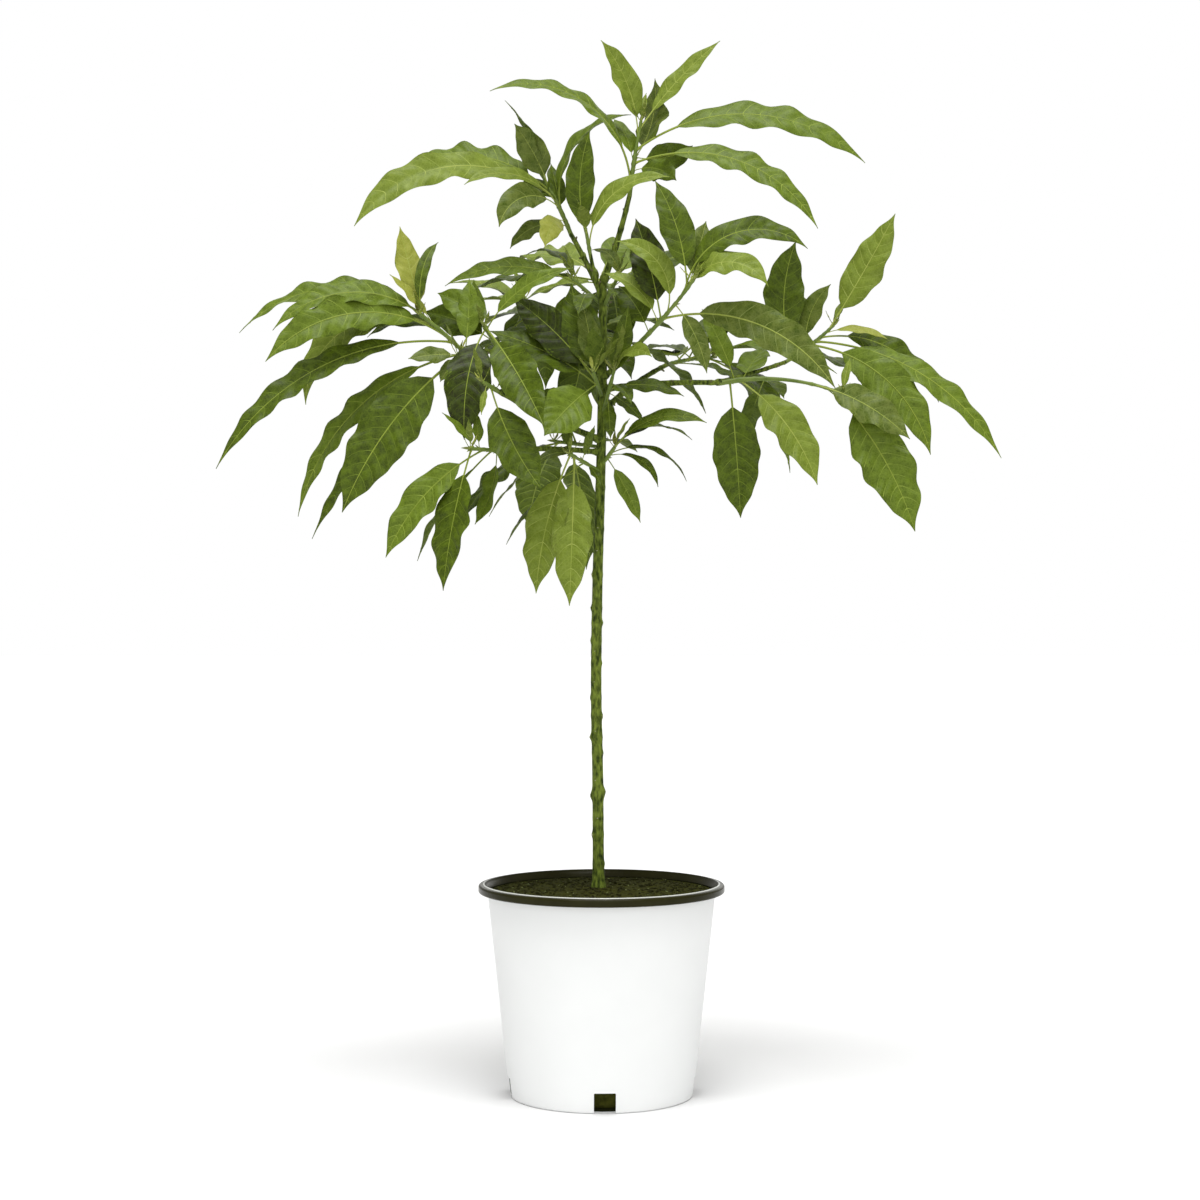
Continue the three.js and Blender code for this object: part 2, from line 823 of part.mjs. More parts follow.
// Fuse a shoot's leaves to its stem, each turned aside or left out where it would touch what is in `others`.
function leafUp(row, index, stem, others) {
  const random = seededNumbers(SEED_STEP * (index + 1));
  const leaves = row.leaves ?? seededRows(random, row.stem.heading, row.seeded);
  const placed = [...leaves, ...budRows(random, row.stem.heading)];
  return placed.reduce((mass, leaf, i) => {
    const [, , , , width, , share] = leaf;
    const spaced = THREE.MathUtils.lerp(stem.firstLeaf, STEM.lastLeaf, Math.min(1, i / leaves.length));
    const base = stem.axis.at(share ?? spaced).centre;
    const blades = SIDESTEPS.map((sidestep) => leafSolid(leafAxis(base, leaf, sidestep), width));
    const clear = blades.find((blade) => !others.some((other) => overlap(blade, other)));
    return clear ? mass.add(clear) : mass;
  }, stem.body);
}

// ---------------------------------------------------------------- the tree in its pot

const tree = new THREE.Group();
tree.name = 'avocado_tree_in_pot';
tree.add(meshOf('pot', potSolid(), FINISHES.pot));
tree.add(meshOf('pot_rim', rimSolid(), FINISHES.rim));
tree.add(meshOf('soil', soilSolid(), FINISHES.soil));

const limbs = new Map([['trunk', makeTrunk()]]);
BOUGHS.forEach((row) => limbs.set(row.name, makeBough(row, limbs)));
limbs.forEach((limb, name) => {
  tree.add(meshOf(name, limb.body, name === 'trunk' ? FINISHES.trunk : FINISHES.bough));
});

const stems = new Map(SHOOTS.map((row) => [row.name, makeStem(row, limbs)]));
const masses = new Map();
SHOOTS.forEach((row, index) => {
  const stem = stems.get(row.name);
  const otherStems = [...stems.values()].filter((one) => one !== stem);
  const others = [...limbs.values(), ...otherStems].map((one) => one.body);
  const mass = leafUp(row, index, stem, [...others, ...masses.values()]);
  masses.set(row.name, mass);
  tree.add(meshOf(row.name, mass, FINISHES.leaf));
});

export default tree;
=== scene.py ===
"""The looks of a young avocado tree in its nursery pot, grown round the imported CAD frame.

Sizes are in millimetres, headings and angles in degrees, as in the part's source. They become
metres where a mesh is made. Limbs, shoots and leaves follow the source's own rule, so that each
leaf here lies where its solid lies, with the finer forms of a real leaf."""

from __future__ import annotations

import logging
import math
from dataclasses import dataclass, field
from enum import Enum
from typing import Iterator, Optional, Sequence

import bpy
import numpy as np
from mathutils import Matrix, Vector, noise


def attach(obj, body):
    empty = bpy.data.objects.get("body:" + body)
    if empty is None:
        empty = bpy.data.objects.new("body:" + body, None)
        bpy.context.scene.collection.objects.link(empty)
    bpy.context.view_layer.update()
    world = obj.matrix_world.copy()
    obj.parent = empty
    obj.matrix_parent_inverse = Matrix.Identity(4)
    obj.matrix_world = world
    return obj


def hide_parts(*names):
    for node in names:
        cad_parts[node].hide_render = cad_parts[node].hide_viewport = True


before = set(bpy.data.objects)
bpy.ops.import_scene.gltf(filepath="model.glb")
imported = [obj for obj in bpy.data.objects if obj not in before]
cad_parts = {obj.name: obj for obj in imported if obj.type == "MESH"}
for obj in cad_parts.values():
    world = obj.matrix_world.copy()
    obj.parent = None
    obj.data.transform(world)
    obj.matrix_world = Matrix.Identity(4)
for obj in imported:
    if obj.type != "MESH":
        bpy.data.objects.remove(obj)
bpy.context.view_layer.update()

LOG = logging.getLogger("avocado_tree")

MM = 0.001

Colour = tuple[float, float, float, float]
Point = tuple[float, float, float]
Span = tuple[float, float]
Profile = list[tuple[float, float]]


# ---------------------------------------------------------------- driving sizes, as in the source

POT_HEIGHT = 240.0
POT_BASE_RADIUS = 105.0
POT_SHOULDER_RADIUS = 129.6
POT_WALL = 2.6
POT_FLOOR = 4.0
POT_FOOT_ROUND = 3.0
RIM_RADIUS = 140.0
RIM_HEIGHT = 10.0
RIM_FOLD_RADIUS = 127.2
GAP = 0.3

TRUNK_FOOT = 236.6
TRUNK_TOP = 923.0
TRUNK_SWAY = (
    (-3.4, 0.0),
    (-4.0, 1.0),
    (-6.3, 0.0),
    (-4.5, -1.0),
    (-1.2, 0.0),
    (1.0, 1.0),
    (1.7, 0.0),
)
TRUNK_FOOT_RADIUS = 6.4
TRUNK_TOP_RADIUS = 4.7
TRUNK_TAPER_POWER = 1.6
TRUNK_FLARE = 2.4
TRUNK_FLARE_HEIGHT = 11.0

STEM_SIDE_FOOT = 2.3
STEM_TIP = 1.5
STEM_SIDE_BARE = 0.45
STEM_TIP_BARE = 0.12
LAST_LEAF = 0.98

STALK_SHARE = 0.19
OUTLINE_SKEW = 0.82
OUTLINE_NARROWING = 0.18

SIDESTEPS = (0, 6, -6, 12, -12, 18, -18, 26, -26)
SEED_STEP = 1009
GOLDEN_ANGLE = 137.5
SEEDED_SPREAD = 170.0
SEEDED_RISE: Span = (-55, 26)
SEEDED_LENGTH: Span = (105, 200)
SEEDED_TURN: Span = (0, 30)
SEEDED_WIDTH: Span = (0.32, 0.42)
SEEDED_ARCH: Span = (30, 70)
BUD_SPREAD = 60.0
BUD_RISE: Span = (46, 70)
BUD_LENGTH: Span = (28.8, 46.8)
BUD_TURN: Span = (0, 40)
BUD_WIDTH = 0.32
BUD_ARCH = 20


class LeafTone(Enum):
    """The tones that leaves come in, from the darkest to the youngest. The deepest is painted shade: a
    near-black colour for leaves that sit in shade inside the crown.
    """

    DEEP_SHADE = "deep_shade"
    DARK = "dark"
    MID = "mid"
    LIGHT = "light"
    YOUNG = "young"
    # The grey tone is partly the blade's own greyer colour and partly painted sheen: its greyish colours
    # stand in for the sheen of light on the waxy blade and along its veins.
    GREY = "grey"


DEEP_SHADE, DARK, MID, LIGHT, YOUNG, GREY = LeafTone
SEEDED_TONES = (DARK, MID, LIGHT, MID, DARK)


@dataclass(frozen=True)
class Leaf:
    """One leaf with its stalk: an arc that starts on its shoot's axis.

    Turn rolls the blade about its midrib to face the front, width is a share of the blade's
    length, and share is the leaf's place along its shoot where it isn't evenly spaced. Bow is how
    far the blade curves sideways, as a share of its length."""

    heading: float
    rise: float
    length: float
    turn: float
    width: float
    arch: float
    tone: LeafTone
    share: Optional[float] = None
    bow: float = 0.0


@dataclass(frozen=True)
class Bough:
    """One tapering limb. On the trunk, at is a height; on a bough it is a share of its length."""

    name: str
    on: str
    at: float
    heading: float
    rise: float
    length: float
    arch: float
    foot: float
    tip: float


@dataclass(frozen=True)
class Shoot:
    """A stem and its leaves. It grows on from its bough's tip, or from a side where at is given."""

    name: str
    on: str
    heading: float
    rise: float
    length: float
    arch: float
    at: Optional[float] = None
    seeded: int = 0
    leaves: tuple[Leaf, ...] = ()


BOUGHS: tuple[Bough, ...] = (
    Bough("bough_right_fork", "trunk", 923, heading=354, rise=73, length=105, arch=-8, foot=3.9, tip=2.7),
    Bough("bough_left_fork", "trunk", 905, heading=145, rise=60, length=90, arch=8, foot=3.4, tip=2.6),
    Bough("bough_middle", "trunk", 896, heading=232, rise=68, length=64, arch=-8, foot=2.6, tip=2.1),
    Bough("bough_right_upper", "trunk", 815, heading=313, rise=30, length=76, arch=-12, foot=3.4, tip=2.6),
    Bough("bough_right_lower", "trunk", 802, heading=349, rise=2, length=138, arch=10, foot=3.8, tip=2.8),
    Bough("bough_right_outer", "bough_right_lower", 0.95, heading=23, rise=17, length=92,
          arch=-6, foot=2.6, tip=2.3),
    Bough("bough_left_upper", "trunk", 821, heading=189, rise=10, length=119, arch=14, foot=3.8, tip=2.9),
    Bough("bough_left_outer", "bough_left_upper", 0.94, heading=197, rise=2, length=52,
          arch=8, foot=2.7, tip=2.4),
    Bough("bough_left_lower", "trunk", 744, heading=216, rise=19, length=151, arch=-8, foot=3.8, tip=2.6),
    Bough("bough_left_low", "trunk", 730, heading=212, rise=-1, length=132, arch=10, foot=3.2, tip=2.5),
    Bough("bough_back_left", "trunk", 838, heading=124, rise=18, length=128, arch=14, foot=3.6, tip=2.6),
    Bough("bough_back_right", "trunk", 776, heading=50, rise=28, length=135, arch=14, foot=3.6, tip=2.6),
    Bough("bough_back_top", "trunk", 872, heading=84, rise=34, length=102, arch=12, foot=3.2, tip=2.4),
)

SHOOTS: tuple[Shoot, ...] = (
    Shoot(
        "foliage_top", "bough_right_fork", heading=30, rise=80, length=86, arch=6,
        leaves=(
            Leaf(190, 32, 222, 36, 0.2, 108, MID),
            Leaf(350, -21, 241, 50, 0.2, 75, MID, share=0.42),
            Leaf(322, -16, 66, 62, 0.6, 50, DARK),
            Leaf(120, 53, 77, 0, 0.42, 53, MID),
            Leaf(20, 14, 76, 85, 0.6, -50, DARK),
            Leaf(1, -3, 283, 50, 0.2, 77, MID),
            Leaf(40, 72, 103, 0, 0.6, -55, GREY, share=0.5),
            Leaf(199, 67, 118, 80, 0.38, 45, LIGHT),
            Leaf(5, 48, 139, 55, 0.24, 15, LIGHT),
        ),
    ),
    Shoot(
        "foliage_top_left", "bough_left_fork", heading=155, rise=62, length=82, arch=10,
        leaves=(
            Leaf(178, -21, 77, 55, 0.42, 78, GREY),
            Leaf(246, -34, 72, 40, 0.52, 76, YOUNG),
            Leaf(218, -20, 105, 60, 0.46, 106, GREY, share=0.42),
            Leaf(344, 52, 158, 40, 0.3, 108, MID),
            Leaf(170, 20, 64, 60, 0.5, 101, DARK),
            Leaf(204, 6, 124, 50, 0.26, 80, LIGHT),
            Leaf(199, -11, 264, 55, 0.22, 86, LIGHT),
            Leaf(171, 13, 183, 40, 0.32, 69, MID),
            Leaf(206, 58, 84, 112, 0.56, 30, GREY),
            Leaf(202, 61, 107, 0, 0.22, 34, MID),
            Leaf(120, 66, 70, 0, 0.46, 10, DARK, share=0.3),
        ),
    ),
    Shoot(
        "foliage_top_middle", "bough_middle", heading=200, rise=79, length=27, arch=0,
        leaves=(
            Leaf(348, 40, 138, 60, 0.28, 100, LIGHT),
            Leaf(0, 89, 128, 90, 0.36, 36, DARK),
            Leaf(262, 28, 56, 0, 0.36, 40, LIGHT),
        ),
    ),
    Shoot(
        "foliage_fork_left", "trunk", heading=168, rise=42, length=48, arch=0, at=897,
        leaves=(
            Leaf(258, -28, 66, 0, 0.5, 50, DARK),
            Leaf(150, -54, 60, 113, 0.78, 39, MID),
            Leaf(178, 1, 168, 50, 0.24, 70, MID),
            Leaf(141, 27, 102, 0, 0.36, 93, DARK),
            Leaf(150, 70, 44, 0, 0.34, 10, LIGHT),
        ),
    ),
    Shoot(
        "foliage_fork_right", "trunk", heading=308, rise=50, length=46, arch=0, at=894,
        leaves=(
            Leaf(276, -12, 56, 0, 0.42, 60, DARK),
            Leaf(20, 20, 66, 20, 0.38, 50, MID),
            Leaf(150, 50, 58, 40, 0.36, 110, GREY),
        ),
    ),
    Shoot(
        "foliage_right_upper", "bough_right_upper", heading=311, rise=35, length=102, arch=-10,
        leaves=(
            Leaf(138, 46, 83, 50, 0.6, 28, DARK),
            Leaf(130, 70, 126, 42, 0.46, 12, DEEP_SHADE, share=0.35),
            Leaf(154, 42, 95, 40, 0.34, 60, LIGHT),
            Leaf(340, -23, 228, 70, 0.27, 72, GREY),
            Leaf(168, 55, 114, 60, 0.32, 101, LIGHT),
            Leaf(335, -64, 88, 60, 0.36, 37, GREY, share=0.62),
            Leaf(140, 70, 133, 50, 0.38, 27, DARK, share=0.86),
            Leaf(332, 3, 133, 55, 0.36, 131, LIGHT),
            Leaf(356, 19, 178, 60, 0.28, 130, DARK),
            Leaf(60, 62, 88, 40, 0.46, 13, GREY),
        ),
    ),
    Shoot(
        "foliage_right_low", "bough_right_lower", heading=355, rise=-6, length=140, arch=34,
        leaves=(
            Leaf(315, -84, 155, 45, 0.47, -3, DARK, share=0.06),
            Leaf(340, -53, 152, 55, 0.42, 34, LIGHT, share=0.14),
            Leaf(153, 64, 93, 50, 0.36, 19, MID, share=0.1),
            Leaf(62, 35, 74, 0, 0.7, 10, MID, share=0.16),
            Leaf(66, -8, 104, 20, 0.42, 50, MID, share=0.26),
            Leaf(110, -50, 92, 0, 0.4, 20, DARK, share=0.34),
            Leaf(343, -30, 130, 60, 0.42, 34, GREY, share=0.72),
            Leaf(20, -48, 110, 20, 0.4, 30, DARK, share=0.84),
            Leaf(344, -60, 186, 70, 0.44, 29, MID, share=0.9),
        ),
    ),
    Shoot(
        "foliage_right_outer", "bough_right_outer", heading=14, rise=37, length=73, arch=-12,
        leaves=(
            Leaf(0, 88, 138, 90, 0.46, 48, DARK),
            Leaf(80, 58, 92, 0, 0.4, 24, DARK),
            Leaf(30, -24, 126, 30, 0.42, 44, DARK),
            Leaf(0, 69, 81, 60, 0.44, 48, GREY),
            Leaf(341, -43, 198, 70, 0.32, 60, MID),
            Leaf(350, -33, 260, 45, 0.2, 54, MID),
            Leaf(4, -28, 168, 55, 0.3, 74, DARK),
            Leaf(351, -6, 75, 40, 0.24, 53, YOUNG),
            Leaf(351, 60, 152, 80, 0.38, -8, LIGHT),
        ),
    ),
    Shoot(
        "foliage_right_inner", "trunk", heading=296, rise=58, length=60, arch=0, at=770,
        leaves=(
            Leaf(280, -68, 54, 0, 0.4, 30, DARK),
            Leaf(330, -38, 58, 30, 0.45, 30, DARK),
            Leaf(0, -6, 88, 46, 0.34, 50, DARK),
            Leaf(296, -25, 62, 0, 0.46, 60, DARK),
            Leaf(322, 15, 96, 50, 0.32, 108, LIGHT),
            Leaf(322, 70, 63, -54, 0.56, -2, GREY),
            Leaf(325, 69, 92, 123, 0.36, -6, DARK, share=0.7),
        ),
    ),
    Shoot(
        "foliage_low_right", "trunk", heading=318, rise=45, length=30, arch=0, at=714,
        leaves=(
            Leaf(343, -62, 84, 60, 0.32, 13, MID),
            Leaf(343, -32, 77, 30, 0.24, 93, DARK),
            Leaf(10, -19, 106, 25, 0.24, 96, DARK),
            Leaf(27, 9, 118, 10, 0.3, 90, DARK),
            Leaf(349, 15, 121, 40, 0.28, 82, MID),
        ),
    ),
    Shoot(
        "foliage_low_left", "trunk", heading=230, rise=18, length=58, arch=0, at=708,
        leaves=(
            Leaf(300, -40, 42, 0, 0.4, 30, DARK),
            Leaf(156, -43, 136, 30, 0.34, 30, DARK),
            Leaf(315, 62, 44, 0, 0.4, 10, MID),
            Leaf(190, -76, 162, 55, 0.42, 25, LIGHT, share=0.96),
            Leaf(262, -78, 172, 0, 0.36, 18, LIGHT, share=0.84),
            Leaf(196, -12, 52, 40, 0.36, 80, GREY),
            Leaf(225, 62, 44, 0, 0.4, 10, MID),
        ),
    ),
    Shoot(
        "foliage_centre_front", "trunk", heading=258, rise=26, length=56, arch=0, at=793,
        leaves=(
            Leaf(170, 27, 143, 40, 0.46, 21, DARK),
            Leaf(228, -36, 108, 55, 0.7, 11, MID),
            Leaf(159, 44, 145, 60, 0.44, 13, DEEP_SHADE),
            Leaf(131, 69, 122, 42, 0.5, -19, DARK),
            Leaf(144, 78, 88, 40, 0.42, 0, GREY),
            Leaf(257, 78, 56, 0, 0.56, 34, DARK),
            Leaf(338, 50, 56, 0, 0.42, 20, GREY),
        ),
    ),
    Shoot(
        "foliage_left_inner", "bough_left_upper", heading=228, rise=48, length=38, arch=0,
        leaves=(
            Leaf(247, -67, 146, 20, 0.47, 60, DEEP_SHADE, share=0.9),
            Leaf(304, -44, 173, 44, 0.38, 18, DARK, share=0.96),
            Leaf(158, 37, 81, 60, 0.62, 38, MID, share=0.74),
            Leaf(356, 35, 124, 60, 0.26, 56, MID, share=0.86),
            Leaf(120, 64, 70, 15, 0.5, -87, MID, share=0.94),
            Leaf(150, 23, 104, 60, 0.5, 20, DARK, share=0.4),
        ),
    ),
    Shoot(
        "foliage_left_outer", "bough_left_outer", heading=200, rise=38, length=62, arch=10,
        leaves=(
            Leaf(178, -30, 212, 60, 0.28, 127, LIGHT, share=0.6),
            Leaf(195, -29, 321, 50, 0.15, 69, DARK),
            Leaf(198, -9, 232, 60, 0.27, 88, MID),
            Leaf(157, 1, 108, 40, 0.32, 78, DARK),
            Leaf(168, 1, 268, 40, 0.18, 92, MID),
            Leaf(190, -2, 207, 55, 0.24, 97, MID),
            Leaf(194, 48, 74, 50, 0.28, 20, YOUNG),
            Leaf(60, 69, 101, 30, 0.2, 81, DARK, share=0.96),
            Leaf(150, 72, 111, 45, 0.38, -10, YOUNG),
        ),
    ),
    Shoot(
        "foliage_left_hanging", "bough_left_outer", heading=240, rise=-18,
        length=28, arch=0, at=0.8,
        leaves=(
            Leaf(72, 72, 92, 0, 0.4, 10, MID),
            Leaf(175, -44, 276, 50, 0.19, 62, MID),
            Leaf(183, -51, 271, 50, 0.15, 34, DARK),
            Leaf(195, -53, 228, 70, 0.38, 40, DARK),
            Leaf(196, -6, 60, 60, 0.5, 23, GREY),
            Leaf(200, -54, 38, 60, 0.6, 22, GREY),
        ),
    ),
    Shoot(
        "foliage_left_middle", "bough_left_lower", heading=214, rise=25, length=20, arch=0,
        leaves=(
            Leaf(48, 36, 38, 0, 0.3, 0, LIGHT),
            Leaf(329, -60, 132, 50, 0.5, -19, DARK),
            Leaf(250, -66, 38, 0, 0.3, 10, LIGHT),
        ),
    ),
    Shoot(
        "foliage_left_low", "bough_left_low", heading=215, rise=1, length=39, arch=0,
        leaves=(
            Leaf(152, -71, 88, 60, 0.5, -39, MID),
            Leaf(146, -49, 163, 20, 0.26, 30, DARK),
            Leaf(205, -78, 160, 30, 0.42, 13, DARK, share=0.96),
            Leaf(185, -48, 164, 60, 0.34, 40, MID),
            Leaf(120, 76, 44, 0, 0.4, 10, MID),
            Leaf(193, 47, 54, 50, 0.3, 20, MID),
        ),
    ),
    Shoot(
        "foliage_centre_back", "trunk", heading=104, rise=35, length=60, arch=0, at=850, seeded=7,
    ),
    Shoot(
        "foliage_low_back", "trunk", heading=140, rise=8, length=72, arch=0, at=736, seeded=7,
    ),
    Shoot(
        "foliage_back_left", "bough_back_left", heading=118, rise=42, length=72, arch=10, seeded=10,
    ),
    Shoot(
        "foliage_back_right", "bough_back_right", heading=50, rise=10,
        length=90, arch=10, seeded=10,
    ),
    Shoot(
        "foliage_back_top", "bough_back_top", heading=104, rise=16, length=60, arch=10, seeded=8,
    ),
)


# ---------------------------------------------------------------- axes and seeded numbers


class SeededNumbers:
    """Numbers from 0 to 1 that look random and are the same for the same seed."""

    MULTIPLIER = 1664525
    INCREMENT = 1013904223
    RANGE = 2**32

    def __init__(self, seed: int) -> None:
        """Starts a run of numbers at this seed."""
        self._state = seed

    def draw(self) -> float:
        """The next number."""
        self._state = (self._state * self.MULTIPLIER + self.INCREMENT) % self.RANGE
        return self._state / self.RANGE

    def between(self, low: float, high: float) -> float:
        """The next number, scaled to lie from low to high."""
        return low + (high - low) * self.draw()


@dataclass
class Sections:
    """Cross-sections along an axis: a centre and three directions for each, one to a row."""

    centre: np.ndarray
    side: np.ndarray
    normal: np.ndarray
    along: np.ndarray


class Arc:
    """An arc in an upright plane that leaves its start above its chord and bends down.

    Its bow pushes its middle sideways, in mm, while its ends stay where they are."""

    def __init__(
        self,
        start: np.ndarray,
        heading: float,
        rise: float,
        length: float,
        arch: float,
        turn: float = 0.0,
    ) -> None:
        """Lays the arc out.

        Args:
            start: Its first point.
            heading: Its direction on plan, from +X towards +Y.
            rise: How steeply its chord climbs.
            length: Its length along the curve.
            arch: How far it bends down from start to end.
            turn: How far its sections roll about it.
        """
        self.bow = 0.0
        azimuth, climb = math.radians(heading), math.radians(rise)
        self.start = np.asarray(start, float)
        self.length = length
        self._bend = math.radians(arch) or 1e-6
        self._roll = math.radians(turn) * (-1 if math.cos(azimuth) < 0 else 1)
        self._chord = np.array(
            [math.cos(climb) * math.cos(azimuth), math.cos(climb) * math.sin(azimuth), math.sin(climb)]
        )
        self._across = np.array([math.sin(azimuth), -math.cos(azimuth), 0.0])
        self._over = np.cross(self._across, self._chord)

    def at(self, share: np.ndarray | float, extra_roll: np.ndarray | float = 0.0) -> Sections:
        """The sections at these shares of the arc; before 0 and past 1 it runs straight.

        Args:
            share: One share of the length, or a row of them.
            extra_roll: A further roll in radians, one for all shares or one for each.

        Returns:
            One section for each share.
        """
        t = np.atleast_1d(np.asarray(share, float))
        inside = np.clip(t, 0.0, 1.0)
        slope = self._bend / 2 - self._bend * inside
        scale = self.length / self._bend
        along = np.outer(np.cos(slope), self._chord) + np.outer(np.sin(slope), self._over)
        centre = (
            self.start
            + np.outer(scale * (math.sin(self._bend / 2) - np.sin(slope)), self._chord)
            + np.outer(scale * (np.cos(slope) - math.cos(self._bend / 2)), self._over)
            + along * ((t - inside) * self.length)[:, None]
        )
        level = np.cross(self._across, along)
        roll = np.broadcast_to(self._roll + np.asarray(extra_roll), t.shape)[:, None]
        side = self._across * np.cos(roll) - level * np.sin(roll)
        normal = level * np.cos(roll) + self._across * np.sin(roll)
        centre = centre + side * (4 * self.bow * inside * (1 - inside))[:, None]
        return Sections(centre, side, normal, along)


class TrunkAxis:
    """The trunk's axis, which sways a little about an upright line. Its sections stay level."""

    def __init__(self) -> None:
        """Spreads the points of the sway evenly over the trunk's height."""
        heights = np.linspace(TRUNK_FOOT, TRUNK_TOP, len(TRUNK_SWAY))
        points = np.column_stack([np.array(TRUNK_SWAY), heights])
        before, after = 2 * points[0] - points[1], 2 * points[-1] - points[-2]
        self._points = np.vstack([before, points, after])
        self.length = TRUNK_TOP - TRUNK_FOOT

    def at(self, share: np.ndarray | float) -> Sections:
        """The level sections at these shares of the trunk's height.

        Args:
            share: One share of the height, or a row of them.

        Returns:
            One section for each share.
        """
        t = np.atleast_1d(np.asarray(share, float))
        spans = len(TRUNK_SWAY) - 1
        place = np.clip(t, 0.0, 1.0) * spans
        span = np.minimum(place.astype(int), spans - 1)
        w = (place - span)[:, None]
        p0, p1, p2, p3 = (self._points[span + k] for k in range(4))
        m1, m2 = (p2 - p0) / 2, (p3 - p1) / 2
        centre = p1 + m1 * w + (3 * (p2 - p1) - 2 * m1 - m2) * w**2 + (2 * (p1 - p2) + m1 + m2) * w**3
        centre[:, 2] = TRUNK_FOOT + t * self.length
        ones = np.ones((len(t), 1))
        return Sections(centre, ones * (1.0, 0.0, 0.0), ones * (0.0, -1.0, 0.0), ones * (0.0, 0.0, 1.0))

    def share_at_height(self, height: float) -> float:
        """The share of the trunk's height at this height above the floor."""
        return (height - TRUNK_FOOT) / self.length


Axis = Arc | TrunkAxis


# ---------------------------------------------------------------- meshes from many small shapes


class MeshHeap:
    """Corners and faces gathered from many small shapes and joined into one mesh."""

    def __init__(self) -> None:
        """Starts empty."""
        self._corners: list[np.ndarray] = []
        self._faces: list[np.ndarray] = []
        self._count = 0

    def add_grid(self, points: np.ndarray, closed: bool = False, turned_over: bool = False) -> None:
        """Adds a grid of quads.

        Args:
            points: Rows by columns by 3.
            closed: Whether the last column joins the first.
            turned_over: Whether the faces point against (column direction) x (row direction).
        """
        rows, columns = points.shape[:2]
        index = np.arange(rows * columns).reshape(rows, columns)
        if closed:
            index = np.hstack([index, index[:, :1]])
        around = [index[:-1, :-1], index[:-1, 1:], index[1:, 1:], index[1:, :-1]]
        quads = np.stack(around[::-1] if turned_over else around, axis=-1).reshape(-1, 4)
        self.add_faces(points.reshape(-1, 3), quads)

    def add_faces(self, corners: np.ndarray, faces: np.ndarray) -> None:
        """Adds faces of one size.

        Args:
            corners: The corners, one to a row.
            faces: One face to a row, as numbers of these corners.
        """
        self._faces.append(faces + self._count)
        self._corners.append(corners)
        self._count += len(corners)

    def add_tube(
        self,
        axis: Axis,
        shares: np.ndarray,
        sides: int,
        radii: np.ndarray,
        flatness: float = 1.0,
        drop: float = 0.0,
    ) -> None:
        """Adds a tube along an axis, closed at both ends.

        Args:
            axis: What it follows.
            shares: Where its rings are, as shares of the axis.
            sides: How many sides it has.
            radii: One radius for each ring, or rings by sides.
            flatness: Its thickness as a share of its width.
            drop: How far its centre lies under the axis, as a share of its radius.
        """
        sections = axis.at(shares)
        angle = np.linspace(0, 2 * math.pi, sides, endpoint=False)
        radii = np.broadcast_to(radii if radii.ndim == 2 else radii[:, None], (len(shares), sides))
        out = (
            sections.side[:, None, :] * (radii * np.cos(angle))[..., None]
            + sections.normal[:, None, :] * (radii * flatness * np.sin(angle))[..., None]
            - sections.normal[:, None, :] * (radii[:, :1] * drop)[..., None]
        )
        points = sections.centre[:, None, :] + out
        self.add_grid(points, closed=True, turned_over=True)
        order = np.arange(sides)[None, :]
        self.add_faces(points[0], order)
        self.add_faces(points[-1], order[:, ::-1])

    @property
    def is_empty(self) -> bool:
        """Whether nothing was added."""
        return not self._faces

    def to_object(self, name: str, smooth: bool = True) -> bpy.types.Object:
        """Makes one mesh object of all that was added, in metres.

        Args:
            name: The new object's name.
            smooth: Whether its faces are shaded smooth.

        Returns:
            The new object, linked to the scene.
        """
        mesh = bpy.data.meshes.new(name)
        corners = np.concatenate(self._corners) * MM
        loops = np.concatenate([faces.reshape(-1) for faces in self._faces])
        sizes = np.concatenate([np.full(len(faces), faces.shape[1]) for faces in self._faces])
        starts = np.concatenate([[0], np.cumsum(sizes)[:-1]])
        mesh.vertices.add(len(corners))
        mesh.vertices.foreach_set("co", corners.reshape(-1).astype(np.float32))
        mesh.loops.add(len(loops))
        mesh.loops.foreach_set("vertex_index", loops.astype(np.int32))
        mesh.polygons.add(len(sizes))
        mesh.polygons.foreach_set("loop_start", starts.astype(np.int32))
        mesh.update(calc_edges=True)
        mesh.validate()
        mesh.polygons.foreach_set("use_smooth", np.full(len(mesh.polygons), smooth))
        made = bpy.data.objects.new(name, mesh)
        bpy.context.scene.collection.objects.link(made)
        return made


# ---------------------------------------------------------------- materials


def new_material(name: str) -> tuple[bpy.types.Material, bpy.types.NodeTree, bpy.types.Node]:
    """Starts a material.

    Args:
        name: The material's name.

    Returns:
        The material, its node tree and its Principled shader.
    """
    material = bpy.data.materials.new(name)
    material.use_nodes = True
    tree = material.node_tree
    return material, tree, tree.nodes["Principled BSDF"]


def wear(piece: bpy.types.Object, material: bpy.types.Material) -> None:
    """Gives a piece this one material."""
    piece.data.materials.clear()
    piece.data.materials.append(material)


